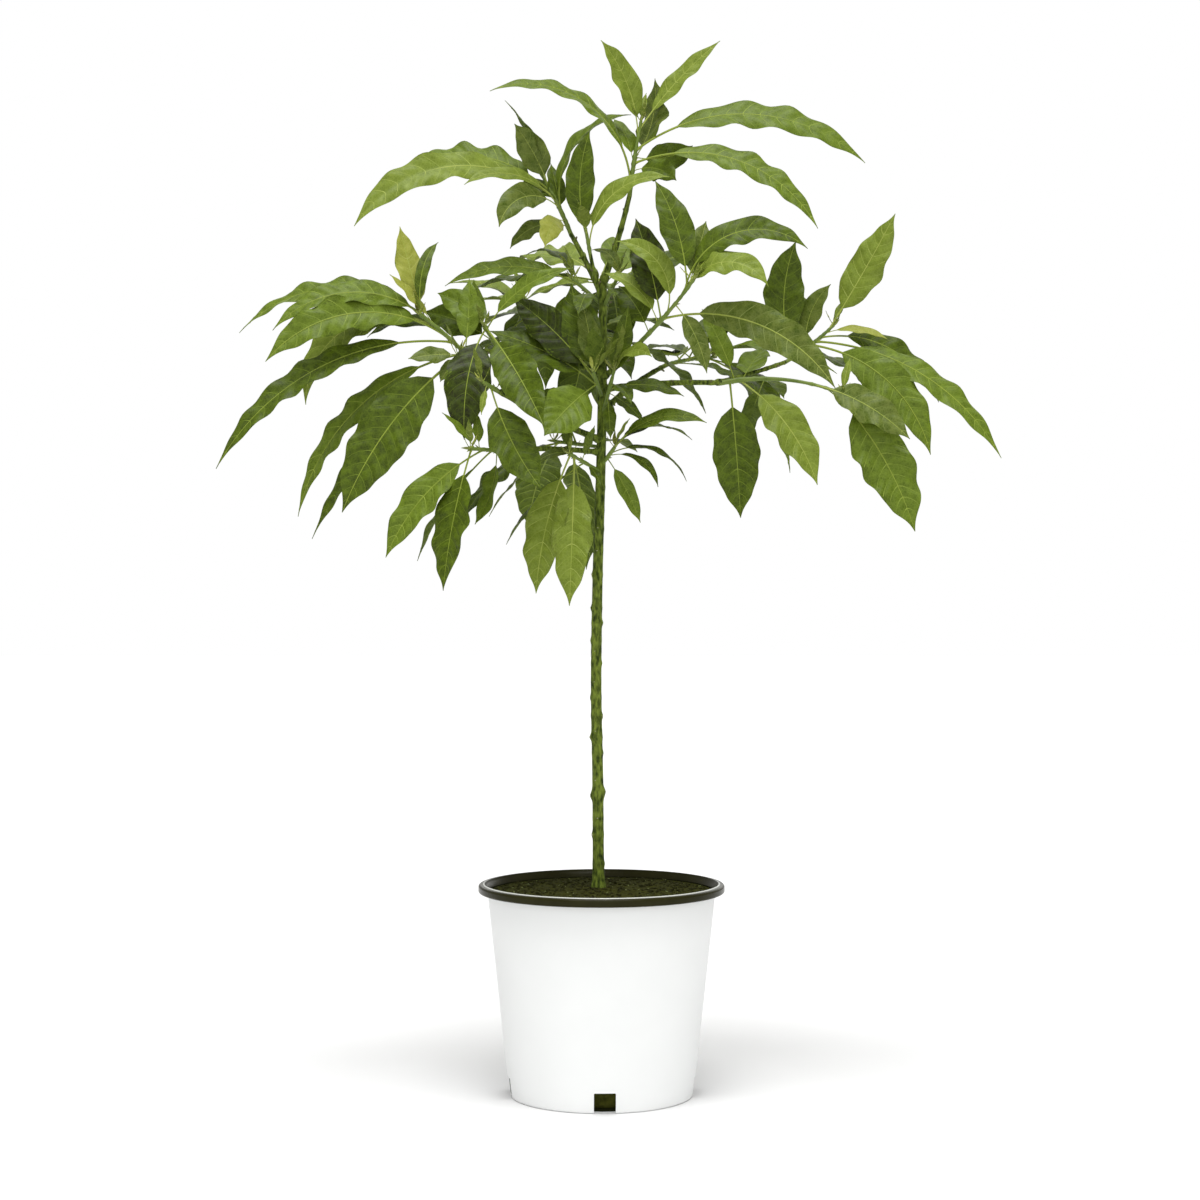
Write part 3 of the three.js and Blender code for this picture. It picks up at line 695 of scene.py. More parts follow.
class SurfaceGroups:
    """Node groups that several finishes share, each built once."""

    LINE_WIDTH = 0.2
    BLOTCH_DETAIL = 3.0
    BLOTCH_ROUGHNESS = 0.55
    GRAIN_DETAIL = 2.0
    GRAIN_FINENESS = 9.0
    BLOTCH_RANGE: Span = (0.34, 0.66)

    @staticmethod
    def _group(
        name: str, outputs: Sequence[str]
    ) -> tuple[bpy.types.NodeTree, bpy.types.Node, bpy.types.Node]:
        """Starts a group with Vector and Scale inputs.

        Args:
            name: The group's name.
            outputs: The names of its value outputs.

        Returns:
            The group, its input node and its output node.
        """
        group = bpy.data.node_groups.new(name, "ShaderNodeTree")
        group.interface.new_socket("Vector", in_out="INPUT", socket_type="NodeSocketVector")
        group.interface.new_socket("Scale", in_out="INPUT", socket_type="NodeSocketFloat")
        for output in outputs:
            group.interface.new_socket(output, in_out="OUTPUT", socket_type="NodeSocketFloat")
        return group, group.nodes.new("NodeGroupInput"), group.nodes.new("NodeGroupOutput")

    @classmethod
    def vein_net(cls) -> bpy.types.NodeTree:
        """Makes a net of fine lines between small cells.

        Returns:
            The group, with the net as its mask.
        """
        name = "Vein net"
        if name in bpy.data.node_groups:
            return bpy.data.node_groups[name]
        group, given, made = cls._group(name, ("Mask",))
        cells = group.nodes.new("ShaderNodeTexVoronoi")
        cells.feature = "DISTANCE_TO_EDGE"
        lines = group.nodes.new("ShaderNodeMapRange")
        lines.inputs["From Max"].default_value = cls.LINE_WIDTH
        lines.inputs["To Min"].default_value = 1.0
        lines.inputs["To Max"].default_value = 0.0
        link = group.links.new
        link(given.outputs["Vector"], cells.inputs["Vector"])
        link(given.outputs["Scale"], cells.inputs["Scale"])
        link(cells.outputs["Distance"], lines.inputs["Value"])
        link(lines.outputs["Result"], made.inputs["Mask"])
        return group

    @classmethod
    def mottling(cls) -> bpy.types.NodeTree:
        """Makes soft blotches with fine grain in them.

        Returns:
            The group, with a mask, a grain and a height.
        """
        name = "Mottling"
        if name in bpy.data.node_groups:
            return bpy.data.node_groups[name]
        group, given, made = cls._group(name, ("Mask", "Grain", "Height"))
        blotches = group.nodes.new("ShaderNodeTexNoise")
        blotches.inputs["Detail"].default_value = cls.BLOTCH_DETAIL
        blotches.inputs["Roughness"].default_value = cls.BLOTCH_ROUGHNESS
        grain = group.nodes.new("ShaderNodeTexNoise")
        grain.inputs["Detail"].default_value = cls.GRAIN_DETAIL
        finer = group.nodes.new("ShaderNodeMath")
        finer.operation = "MULTIPLY"
        finer.inputs[1].default_value = cls.GRAIN_FINENESS
        contrast = group.nodes.new("ShaderNodeMapRange")
        least, greatest = cls.BLOTCH_RANGE
        contrast.inputs["From Min"].default_value = least
        contrast.inputs["From Max"].default_value = greatest
        height = group.nodes.new("ShaderNodeMath")
        height.operation = "ADD"
        link = group.links.new
        link(given.outputs["Vector"], blotches.inputs["Vector"])
        link(given.outputs["Scale"], blotches.inputs["Scale"])
        link(given.outputs["Vector"], grain.inputs["Vector"])
        link(given.outputs["Scale"], finer.inputs[0])
        link(finer.outputs[0], grain.inputs["Scale"])
        link(blotches.outputs["Fac"], contrast.inputs["Value"])
        link(contrast.outputs["Result"], made.inputs["Mask"])
        link(grain.outputs["Fac"], made.inputs["Grain"])
        link(blotches.outputs["Fac"], height.inputs[0])
        link(grain.outputs["Fac"], height.inputs[1])
        link(height.outputs[0], made.inputs["Height"])
        return group


@dataclass(frozen=True)
class MottledFinish:
    """A surface of two close colours in soft blotches, with a fine relief.

    Net is the colour of a net of fine veins over the blotches, where it has one."""

    name: str
    colour: Colour
    second: Colour
    roughness: tuple[float, float] = (0.4, 0.5)
    blotch_scale: float = 30.0
    stretch: Point = (1.0, 1.0, 1.0)
    relief: float = 0.15
    relief_depth: float = 0.0004
    specular: float = 0.4
    net: Colour | None = None
    net_scale: float = 330.0
    net_strength: float = 0.15

    def build(self) -> bpy.types.Material:
        """Makes the material of this finish.

        Returns:
            The material.
        """
        material, tree, shader = new_material(self.name)
        place = tree.nodes.new("ShaderNodeTexCoord")
        mapping = tree.nodes.new("ShaderNodeMapping")
        mapping.inputs["Scale"].default_value = self.stretch
        mottling = tree.nodes.new("ShaderNodeGroup")
        mottling.node_tree = SurfaceGroups.mottling()
        mottling.inputs["Scale"].default_value = self.blotch_scale
        mix = tree.nodes.new("ShaderNodeMix")
        mix.data_type = "RGBA"
        mix.inputs["A"].default_value = self.colour
        mix.inputs["B"].default_value = self.second
        shine = tree.nodes.new("ShaderNodeMapRange")
        shine.inputs["To Min"].default_value = self.roughness[0]
        shine.inputs["To Max"].default_value = self.roughness[1]
        bump = tree.nodes.new("ShaderNodeBump")
        bump.inputs["Strength"].default_value = self.relief
        bump.inputs["Distance"].default_value = self.relief_depth
        link = tree.links.new
        link(place.outputs["Object"], mapping.inputs["Vector"])
        link(mapping.outputs["Vector"], mottling.inputs["Vector"])
        link(mottling.outputs["Mask"], mix.inputs["Factor"])
        base = self._lay_net(tree, mapping, mix) if self.net else mix
        link(base.outputs["Result"], shader.inputs["Base Color"])
        link(mottling.outputs["Grain"], shine.inputs["Value"])
        link(shine.outputs["Result"], shader.inputs["Roughness"])
        link(mottling.outputs["Height"], bump.inputs["Height"])
        link(bump.outputs["Normal"], shader.inputs["Normal"])
        shader.inputs["Specular IOR Level"].default_value = self.specular
        return material

    def _lay_net(
        self, tree: bpy.types.NodeTree, mapping: bpy.types.Node, under: bpy.types.Node
    ) -> bpy.types.Node:
        """Lays the net of fine veins over the blotches.

        Args:
            tree: The material's nodes.
            mapping: Where the pattern's place comes from.
            under: The mix that makes the blotches.

        Returns:
            The mix that carries both.
        """
        net = tree.nodes.new("ShaderNodeGroup")
        net.node_tree = SurfaceGroups.vein_net()
        net.inputs["Scale"].default_value = self.net_scale
        weight = tree.nodes.new("ShaderNodeMath")
        weight.operation = "MULTIPLY"
        weight.inputs[1].default_value = self.net_strength
        laid = tree.nodes.new("ShaderNodeMix")
        laid.data_type = "RGBA"
        laid.inputs["B"].default_value = self.net
        link = tree.links.new
        link(mapping.outputs["Vector"], net.inputs["Vector"])
        link(net.outputs["Mask"], weight.inputs[0])
        link(weight.outputs[0], laid.inputs["Factor"])
        link(under.outputs["Result"], laid.inputs["A"])
        return laid


def tint(red: float, green: float, blue: float) -> Colour:
    """A plain base colour, given as linear shares."""
    return (red, green, blue, 1.0)


LEAF_COLOURS: dict[LeafTone, tuple[Colour, Colour]] = {
    # The deep tone's near-black colours are painted shade.
    DEEP_SHADE: (tint(0.011, 0.013, 0.001), tint(0.036, 0.056, 0.002)),
    DARK: (tint(0.036, 0.056, 0.002), tint(0.076, 0.116, 0.004)),
    MID: (tint(0.074, 0.114, 0.006), tint(0.120, 0.176, 0.013)),
    LIGHT: (tint(0.124, 0.172, 0.015), tint(0.176, 0.234, 0.027)),
    YOUNG: (tint(0.225, 0.250, 0.030), tint(0.292, 0.312, 0.050)),
    # The grey tone's greyish second colour is partly painted sheen.
    GREY: (tint(0.056, 0.088, 0.005), tint(0.118, 0.152, 0.024)),
}

VEIN_COLOURS: dict[LeafTone, Colour] = {
    # The deep tone's darker veins are painted shade too.
    DEEP_SHADE: tint(0.105, 0.140, 0.014),
    DARK: tint(0.185, 0.250, 0.030),
    MID: tint(0.285, 0.360, 0.060),
    LIGHT: tint(0.370, 0.430, 0.100),
    YOUNG: tint(0.470, 0.490, 0.150),
    # The grey tone's greyish veins are partly painted sheen along the veins.
    GREY: tint(0.280, 0.330, 0.095),
}


# ---------------------------------------------------------------- leaves


class LeafShape:
    """One leaf's blade as a grid that follows its veins, with its midrib and side veins.

    The grid's rows lean forwards as the side veins do, so a vein lies along every fourth row."""

    HALF_COLUMNS = (0.0, 0.2, 0.46, 0.72, 0.9, 1.0)
    ROWS_PER_VEIN = 4
    VEIN_PITCH = 15.5
    VEIN_COUNTS = (3, 11)
    LEAN = 0.8
    LEAN_POWER = 1.35
    LEAST_HALF_WIDTH = 0.35
    FULLNESS = 0.74
    TIP_START = 0.8
    TIP_NARROWING = 0.62
    EDGE_WOBBLE = 0.045
    WOBBLE_BEATS = 1.4
    GREATEST_TWIST = 16.0
    TWIST_POWER = 1.6
    FOLD = 12.0
    FOLD_SPREAD: Span = (-5.0, 7.0)
    FOLD_SOFTNESS = 0.012
    WAVE_PITCH = 44.0
    FEWEST_BEATS = 2.0
    BEAT_SPREAD: Span = (0.85, 1.2)
    WAVE_STRENGTH: Span = (0.13, 0.24)
    WAVE_POWER = 2.3
    CALM_ENDS: Span = (0.02, 0.98)
    CALM_POWER = 0.6
    CAMBER: Span = (0.06, 0.16)
    SWELL = 0.08
    GREATEST_SWELL = 2.0
    WIDEST_AT = 0.45
    THICKNESS = 0.5
    EDGE_THINNING = 4
    STALK_ROWS = 9
    STALK_THICKNESS = 0.0072
    STALK_RADII: Span = (0.5, 1.45)

    def __init__(self, axis: Arc, leaf: Leaf, numbers: SeededNumbers) -> None:
        """Works out the blade's surface.

        Args:
            axis: The leaf's arc, stalk included.
            leaf: Its sizes.
            numbers: What makes this leaf differ from the next.
        """
        self.axis = axis
        self.leaf = leaf
        self.length = axis.length * (1 - STALK_SHARE)
        fewest, most = self.VEIN_COUNTS
        self.veins = int(min(most, max(fewest, round(self.length / self.VEIN_PITCH))))
        rows = self.ROWS_PER_VEIN * (self.veins + 1) + 1
        self.shares = np.linspace(0.0, 1.0, rows)
        halves = np.array(self.HALF_COLUMNS)
        self.across = np.concatenate([-halves[:0:-1], halves])
        self.top = self._surface(numbers)
        self.normals = self._normals()
        thin = self.THICKNESS * (1 - np.abs(self.across) ** self.EDGE_THINNING)
        self.bottom = self.top - self.normals * thin[None, :, None]

    def half_width(self, u: np.ndarray) -> np.ndarray:
        """The blade's half width, never quite nothing.

        Args:
            u: Shares of the blade's length.

        Returns:
            One half width for each share.
        """
        clipped = np.clip(u, 0.0, 1.0)
        body = np.sin(math.pi * clipped**OUTLINE_SKEW) ** self.FULLNESS
        drawn_out = np.clip((clipped - self.TIP_START) / (1 - self.TIP_START), 0.0, 1.0)
        tip = 1 - self.TIP_NARROWING * drawn_out * drawn_out * (3 - 2 * drawn_out)
        half = self.length * self.leaf.width * body * (1 - OUTLINE_NARROWING * clipped) * tip / 2
        return np.maximum(half, self.LEAST_HALF_WIDTH)

    def _surface(self, numbers: SeededNumbers) -> np.ndarray:
        """Works out the blade's upper surface: folded, waved at its edges and raised between its veins.

        Args:
            numbers: What makes this leaf differ from the next.

        Returns:
            Its corners, as rows by columns by 3.
        """
        u = self.shares[:, None]
        v = self.across[None, :]
        out = np.abs(v)
        lean = self.LEAN * self.half_width(u) / self.length * out**self.LEAN_POWER
        place = np.clip(u + lean, 0.0, 1.0)
        half = self.half_width(place)
        left = v < 0
        phases = np.where(left, numbers.draw(), numbers.draw())
        beats = max(self.FEWEST_BEATS, self.length / self.WAVE_PITCH) * numbers.between(*self.BEAT_SPREAD)
        ripple = np.sin(2 * math.pi * (beats * self.WOBBLE_BEATS * place + phases))
        wobble = 1 + self.EDGE_WOBBLE * ripple * np.sin(math.pi * place)
        roll = numbers.between(-self.GREATEST_TWIST, self.GREATEST_TWIST)
        twist = math.radians(roll) * place**self.TWIST_POWER
        fold = math.radians(self.FOLD + numbers.between(*self.FOLD_SPREAD))
        crease = np.sqrt(v * v + self.FOLD_SOFTNESS) - math.sqrt(self.FOLD_SOFTNESS)
        strength = numbers.between(*self.WAVE_STRENGTH)
        ends = np.sin(math.pi * np.clip(place, *self.CALM_ENDS)) ** self.CALM_POWER
        wave = strength * ends * out**self.WAVE_POWER * np.sin(2 * math.pi * (beats * place + phases))
        camber = numbers.between(*self.CAMBER) * v * v
        lift = half * (crease * math.sin(fold) + wave - camber)
        row = np.arange(len(self.shares))[:, None] / self.ROWS_PER_VEIN
        widest = float(self.half_width(np.array(self.WIDEST_AT)))
        height = min(self.GREATEST_SWELL, self.SWELL * widest)
        lift = lift + height * ends * np.sin(math.pi * row) ** 2 * np.clip(4 * out * (1 - out), 0, 1)
        t = STALK_SHARE + (1 - STALK_SHARE) * place
        sections = self.axis.at(t.reshape(-1), twist.reshape(-1))
        sideways = (v * half * wobble * math.cos(fold)).reshape(-1, 1)
        points = sections.centre + sections.side * sideways + sections.normal * lift.reshape(-1, 1)
        return points.reshape(*t.shape, 3)

    def _normals(self) -> np.ndarray:
        """Works out the upper surface's unit normals.

        Returns:
            One normal for each corner, as rows by columns by 3.
        """
        down = np.gradient(self.top, axis=0)
        over = np.gradient(self.top, axis=1)
        normal = np.cross(over, down)
        return normal / np.maximum(np.linalg.norm(normal, axis=-1, keepdims=True), 1e-9)

    def side_veins(self) -> Iterator[tuple[np.ndarray, np.ndarray, np.ndarray]]:
        """Follows each side vein from the midrib towards the edge.

        Yields:
            The vein's points on the upper side, those on the lower side, and its normals.
        """
        middle = len(self.across) // 2
        for number in range(1, self.veins + 1):
            row = number * self.ROWS_PER_VEIN
            for step in (1, -1):
                columns = middle + step * np.arange(len(self.HALF_COLUMNS) - 1)
                yield self.top[row, columns], self.bottom[row, columns], self.normals[row, columns]

    def stalk_radius(self) -> float:
        """The stalk's radius, thicker on a longer leaf."""
        return float(np.clip(self.axis.length * self.STALK_THICKNESS, *self.STALK_RADII))


class LeafPiles:
    """The crown's leaves, sorted into one heap for each kind of surface."""

    VEIN_WIDTH = 1.4
    VEIN_HEIGHT = 0.2
    VEIN_ROOT = 0.4
    VEIN_TAPER: Span = (1.0, 0.45)
    FULL_STALK = 1.2
    MIDRIB_SIDES = 6
    MIDRIB_FLATNESS = 0.85
    MIDRIB_DROP = 0.25
    MIDRIB_FOOT = 0.98
    MIDRIB_TAPER = 0.70
    TAPER_POWER = 0.85
    COLLAR_SWELL = 0.75
    COLLAR_REACH = 3.0

    def __init__(self) -> None:
        """Starts with empty heaps."""
        self.tops = {tone: MeshHeap() for tone in LeafTone}
        self.undersides = {pale: MeshHeap() for pale in (False, True)}
        self.veins = {tone: MeshHeap() for tone in LeafTone}
        self.midribs = {pale: MeshHeap() for pale in (False, True)}
        self.masses: set[str] = set()

    @staticmethod
    def is_pale(tone: LeafTone) -> bool:
        """Whether a tone goes with the paler midrib and underside."""
        return tone in (LIGHT, YOUNG, GREY)

    def add(self, shape: LeafShape) -> None:
        """Adds one leaf with its veins and stalk.

        Args:
            shape: The leaf.
        """
        tone = shape.leaf.tone
        self.tops[tone].add_grid(shape.top)
        self.undersides[self.is_pale(tone)].add_grid(shape.bottom, turned_over=True)
        for top, bottom, normals in shape.side_veins():
            self._add_vein(tone, top, normals, shape)
            self._add_vein(tone, bottom, -normals, shape)
        self._add_midrib(shape)

    def _add_vein(self, tone: LeafTone, line: np.ndarray, normals: np.ndarray, shape: LeafShape) -> None:
        """Adds one side vein as a low ridge on the blade.

        Args:
            tone: The leaf's tone.
            line: The vein's points.
            normals: The blade's normals at those points, on the vein's own side.
            shape: The leaf.
        """
        forward = np.gradient(line, axis=0)
        across = np.cross(normals, forward)
        across /= np.maximum(np.linalg.norm(across, axis=-1, keepdims=True), 1e-9)
        size = min(1.0, shape.stalk_radius() / self.FULL_STALK)
        widths = self.VEIN_WIDTH * size * np.linspace(*self.VEIN_TAPER, len(line))[:, None]
        sunk = line - normals * self.VEIN_HEIGHT * self.VEIN_ROOT
        crest = line + normals * self.VEIN_HEIGHT
        ridge = np.stack([sunk - across * widths / 2, crest, sunk + across * widths / 2], axis=1)
        self.veins[tone].add_grid(ridge, turned_over=True)

    def _add_midrib(self, shape: LeafShape) -> None:
        """Adds the stalk and the midrib as one tapering tube.

        Args:
            shape: The leaf.
        """
        thick = shape.stalk_radius()
        stalk = np.linspace(0.0, STALK_SHARE, shape.STALK_ROWS)[:-1]
        blade = STALK_SHARE + (1 - STALK_SHARE) * shape.shares[:-1]
        shares = np.concatenate([stalk, blade])
        along = np.clip((shares - STALK_SHARE) / (1 - STALK_SHARE), 0.0, 1.0)
        radii = thick * (self.MIDRIB_FOOT - self.MIDRIB_TAPER * along**self.TAPER_POWER)
        collar = np.exp(-shares * shape.axis.length / self.COLLAR_REACH)
        radii = radii + self.COLLAR_SWELL * thick * collar
        heap = self.midribs[self.is_pale(shape.leaf.tone)]
        heap.add_tube(
            shape.axis, shares, self.MIDRIB_SIDES, radii, self.MIDRIB_FLATNESS, self.MIDRIB_DROP
        )


# ---------------------------------------------------------------- the crown


@dataclass
class Limb:
    """A limb that others grow from."""

    axis: Axis
    tip: float


class Crown:
    """The trunk, the boughs, the shoots and their leaves."""

    LEAF_SEED = 7001
    LEAF_SEED_STEP = 131
    TIP_SEED_START = 101
    TIP_MATCH = 1.5
    LEAST_BOW = 0.022
    STEM_SIDES = 9
    STEM_STEP = 2.5
    FEWEST_STEM_RINGS = 10
    STEM_LEAD = 3.0
    NODE_SWELL = 0.55
    NODE_REACH = 2.2
    BUD_SIDES = 6
    BUD_BEND = 12.0
    BUD_SHARES = (0.0, 0.18, 0.42, 0.66, 0.86, 1.0)
    BUD_RADII = (0.7, 1.0, 0.95, 0.62, 0.3, 0.06)
    AXIL_CLIMB = 1.2
    AXIL_OFFSET: Span = (1.2, 1.0)
    AXIL_LENGTH: Span = (3.5, 6.5)
    AXIL_RADIUS: Span = (0.8, 1.15)
    END_LENGTH: Span = (8, 12)
    END_RADIUS = 1.75
    OPENING_LEAVES = 3
    OPENING_RISE: Span = (38, 66)
    OPENING_LENGTH: Span = (14, 27)
    OPENING_WIDTH = 0.26
    OPENING_ARCH = -18

    def __init__(self) -> None:
        """Lays out the limbs, as the source does."""
        self.limbs: dict[str, Limb] = {"trunk": Limb(TrunkAxis(), TRUNK_TOP_RADIUS)}
        for bough in BOUGHS:
            start = self._start_on(bough.on, bough.at)
            axis = Arc(start, bough.heading, bough.rise, bough.length, bough.arch)
            self.limbs[bough.name] = Limb(axis, bough.tip)
        self.leaves = LeafPiles()
        self.stems = MeshHeap()
        self.buds = MeshHeap()
        self.left_out = 0

    def _start_on(self, carrier: str, at: float) -> np.ndarray:
        """Finds a point on a carrier's axis.

        Args:
            carrier: The limb's name.
            at: A height on the trunk, or a share of a bough.

        Returns:
            The point.
        """
        axis = self.limbs[carrier].axis
        share = axis.share_at_height(at) if isinstance(axis, TrunkAxis) else at
        return axis.at(share).centre[0]

    def grow(self) -> None:
        """Grows every shoot with its leaves and buds."""
        for index, shoot in enumerate(SHOOTS):
            self._grow_shoot(index, shoot)

    def _stem_axis(self, shoot: Shoot) -> tuple[Arc, float, float]:
        """Lays out a shoot's stem.

        Args:
            shoot: The shoot.

        Returns:
            Its axis, the share of it that is bare, and the radius of its foot.
        """
        carrier = self.limbs[shoot.on]
        if shoot.at is None:
            start = carrier.axis.at(1 + GAP / carrier.axis.length).centre[0]
            bare, foot = STEM_TIP_BARE, carrier.tip
        else:
            start = self._start_on(shoot.on, shoot.at)
            bare, foot = STEM_SIDE_BARE, STEM_SIDE_FOOT
        return Arc(start, shoot.heading, shoot.rise, shoot.length, shoot.arch), bare, foot

    @staticmethod
    def _seeded_leaves(numbers: SeededNumbers, shoot: Shoot) -> list[Leaf]:
        """Sets leaves round a shoot at the golden angle, each with its own rise and size.

        Args:
            numbers: What the leaves differ by.
            shoot: The shoot.

        Returns:
            Its leaves, from its foot to its tip.
        """
        leaves = []
        for i in range(shoot.seeded):
            heading = shoot.heading + (((i * GOLDEN_ANGLE) % 360) / 360 - 0.5) * SEEDED_SPREAD
            rise = numbers.between(*SEEDED_RISE)
            length = numbers.between(*SEEDED_LENGTH)
            turn = numbers.between(*SEEDED_TURN)
            width = numbers.between(*SEEDED_WIDTH)
            arch = numbers.between(*SEEDED_ARCH)
            tone = SEEDED_TONES[i % len(SEEDED_TONES)]
            leaves.append(Leaf(heading, rise, length, turn, width, arch, tone))
        return leaves

    @staticmethod
    def _bud_leaf(numbers: SeededNumbers, shoot: Shoot) -> Leaf:
        """Sets the small young leaf at a shoot's tip.

        Args:
            numbers: What the leaf's heading and sizes come from.
            shoot: The shoot.

        Returns:
            The leaf.
        """
        heading = shoot.heading + BUD_SPREAD * numbers.draw()
        rise = numbers.between(*BUD_RISE)
        length = numbers.between(*BUD_LENGTH)
        return Leaf(heading, rise, length, numbers.between(*BUD_TURN), BUD_WIDTH, BUD_ARCH, LIGHT)

    def _solid_axis(self, base: np.ndarray, leaf: Leaf, corners: np.ndarray) -> Optional[Arc]:
        """The arc that this leaf's solid took, or None where the frame has none for it.

        Args:
            base: Where the leaf starts.
            leaf: Its sizes.
            corners: The corners of its mass in the frame.

        Returns:
            The arc, turned aside as the solid is.
        """
        for sidestep in SIDESTEPS:
            arc = Arc(base, leaf.heading + sidestep, leaf.rise, leaf.length, leaf.arch, leaf.turn)
            tip = arc.at(1.0).centre[0]
            if np.linalg.norm(corners - tip, axis=1).min() < self.TIP_MATCH:
                return arc
        return None

    def _grow_shoot(self, index: int, shoot: Shoot) -> None:
        """Grows one shoot: its stem, its leaves, and the buds in their axils and at its tip.

        Args:
            index: The shoot's number, which its seed comes from.
            shoot: The shoot.
        """
        numbers = SeededNumbers(SEED_STEP * (index + 1))
        leaves = list(shoot.leaves) or self._seeded_leaves(numbers, shoot)
        count = len(leaves)
        leaves.append(self._bud_leaf(numbers, shoot))
        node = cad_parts[shoot.name]
        corners = np.array([corner.co for corner in node.data.vertices]) / MM
        stem, bare, foot = self._stem_axis(shoot)
        shares = []
        for i, leaf in enumerate(leaves):
            spaced = bare + (LAST_LEAF - bare) * min(1.0, i / count)
            share = spaced if leaf.share is None else leaf.share
            base = stem.at(share).centre[0]
            arc = self._solid_axis(base, leaf, corners)
            if arc is None:
                self.left_out += 1
                continue
            detail = SeededNumbers(self.LEAF_SEED * (index + 1) + self.LEAF_SEED_STEP * i)
            arc.bow = (leaf.bow + detail.between(-self.LEAST_BOW, self.LEAST_BOW)) * leaf.length
            self.leaves.add(LeafShape(arc, leaf, detail))
            self._add_axil_bud(stem, share, arc, detail)
            shares.append(share)
        self._add_stem(stem, foot, shares)
        self._add_tip(stem, index)
        self.leaves.masses.add(shoot.name)

    def _add_stem(self, stem: Arc, foot: float, nodes: list[float]) -> None:
        """Adds a shoot's stem, a little swollen where each leaf stands.

        Args:
            stem: The stem's axis.
            foot: The radius of its foot.
            nodes: Where its leaves stand, as shares of it.
        """
        lead = self.STEM_LEAD / stem.length
        rings = max(self.FEWEST_STEM_RINGS, int(stem.length / self.STEM_STEP))
        shares = np.linspace(-lead, 1.0, rings)
        taper = foot + (STEM_TIP - foot) * np.clip(shares, 0.0, 1.0)
        reach = self.NODE_REACH
        swell = sum(
            self.NODE_SWELL * np.exp(-(((shares - node) * stem.length / reach) ** 2)) for node in nodes
        )
        self.stems.add_tube(stem, shares, self.STEM_SIDES, taper + swell)

    def _add_bud(self, start: np.ndarray, aim: np.ndarray, length: float, radius: float) -> None:
        """Adds one pointed bud.

        Args:
            start: The middle of its foot.
            aim: The way it points, of any length.
            length: Its length.
            radius: Its greatest radius.
        """
        aim = aim / np.linalg.norm(aim)
        heading = math.degrees(math.atan2(aim[1], aim[0]))
        rise = math.degrees(math.asin(max(-1.0, min(1.0, aim[2]))))
        axis = Arc(start, heading, rise, length, self.BUD_BEND)
        radii = radius * np.array(self.BUD_RADII)
        self.buds.add_tube(axis, np.array(self.BUD_SHARES), self.BUD_SIDES, radii)

    def _add_axil_bud(self, stem: Arc, share: float, leaf: Arc, numbers: SeededNumbers) -> None:
        """Adds the small bud that sits between a leaf's stalk and the stem.

        Args:
            stem: The stem's axis.
            share: Where the leaf stands on it.
            leaf: The leaf's arc.
            numbers: What the bud's size comes from.
        """
        section = stem.at(share)
        out = leaf.at(0.0).along[0]
        aim = out + section.along[0] * self.AXIL_CLIMB
        aside, ahead = self.AXIL_OFFSET
        start = section.centre[0] + out * aside + section.along[0] * ahead
        self._add_bud(start, aim, numbers.between(*self.AXIL_LENGTH), numbers.between(*self.AXIL_RADIUS))

    def _add_tip(self, stem: Arc, index: int) -> None:
        """Adds the end bud of a shoot and the tiny leaves that are opening round it.

        Args:
            stem: The stem's axis.
            index: The shoot's number, which the leaves' sizes come from.
        """
        numbers = SeededNumbers(SEED_STEP * (index + self.TIP_SEED_START))
        end = stem.at(1.0)
        self._add_bud(end.centre[0], end.along[0], numbers.between(*self.END_LENGTH), self.END_RADIUS)
        start = numbers.between(0, 360)
        for i in range(self.OPENING_LEAVES):
            heading = start + i * GOLDEN_ANGLE
            rise = numbers.between(*self.OPENING_RISE)
            length = numbers.between(*self.OPENING_LENGTH)
            leaf = Leaf(heading, rise, length, 0, self.OPENING_WIDTH, self.OPENING_ARCH, YOUNG)
            arc = Arc(end.centre[0], heading, leaf.rise, leaf.length, leaf.arch)
            self.leaves.add(LeafShape(arc, leaf, numbers))


# ---------------------------------------------------------------- bark


@dataclass(frozen=True)
class Scar:
    """A leaf scar on the trunk: a bump at a height and a direction, with a pale spot on it."""

    height: float
    heading: float
    bump: float
    reach: float = 3.2
    spot: float = 0.0


SCARS: tuple[Scar, ...] = (
    Scar(690, 320, 0.9),
    Scar(664, 220, 0.8),
    Scar(644, 255, 0.8, spot=1.1),
    Scar(642, 188, 1.2),
    Scar(618, 254, 0.6, spot=1.0),
    Scar(591, 205, 1.5, spot=1.2),
    Scar(553, 192, 1.4, spot=0.7),
    Scar(536, 352, 1.3),
    Scar(516, 186, 0.9),
    Scar(504, 256, 0.5, spot=0.7),
    Scar(490, 4, 0.8),
    Scar(469, 252, 0.4, spot=0.7),
    Scar(451, 180, 0.9),
    Scar(430, 330, 1.7, 3.6, spot=1.4),
    Scar(413, 256, 0.5, spot=0.8),
    Scar(406, 202, 2.0, 3.8, spot=1.5),
    Scar(388, 2, 0.8),
    Scar(357, 244, 0.5, spot=0.9),
    Scar(344, 352, 2.0, 5.0, spot=1.0),
    Scar(339, 200, 2.3, 4.6, spot=1.2),
    Scar(314, 262, 0.6, spot=1.0),
    Scar(295, 214, 1.5, 3.4, spot=1.2),
    Scar(262, 350, 0.8),
)


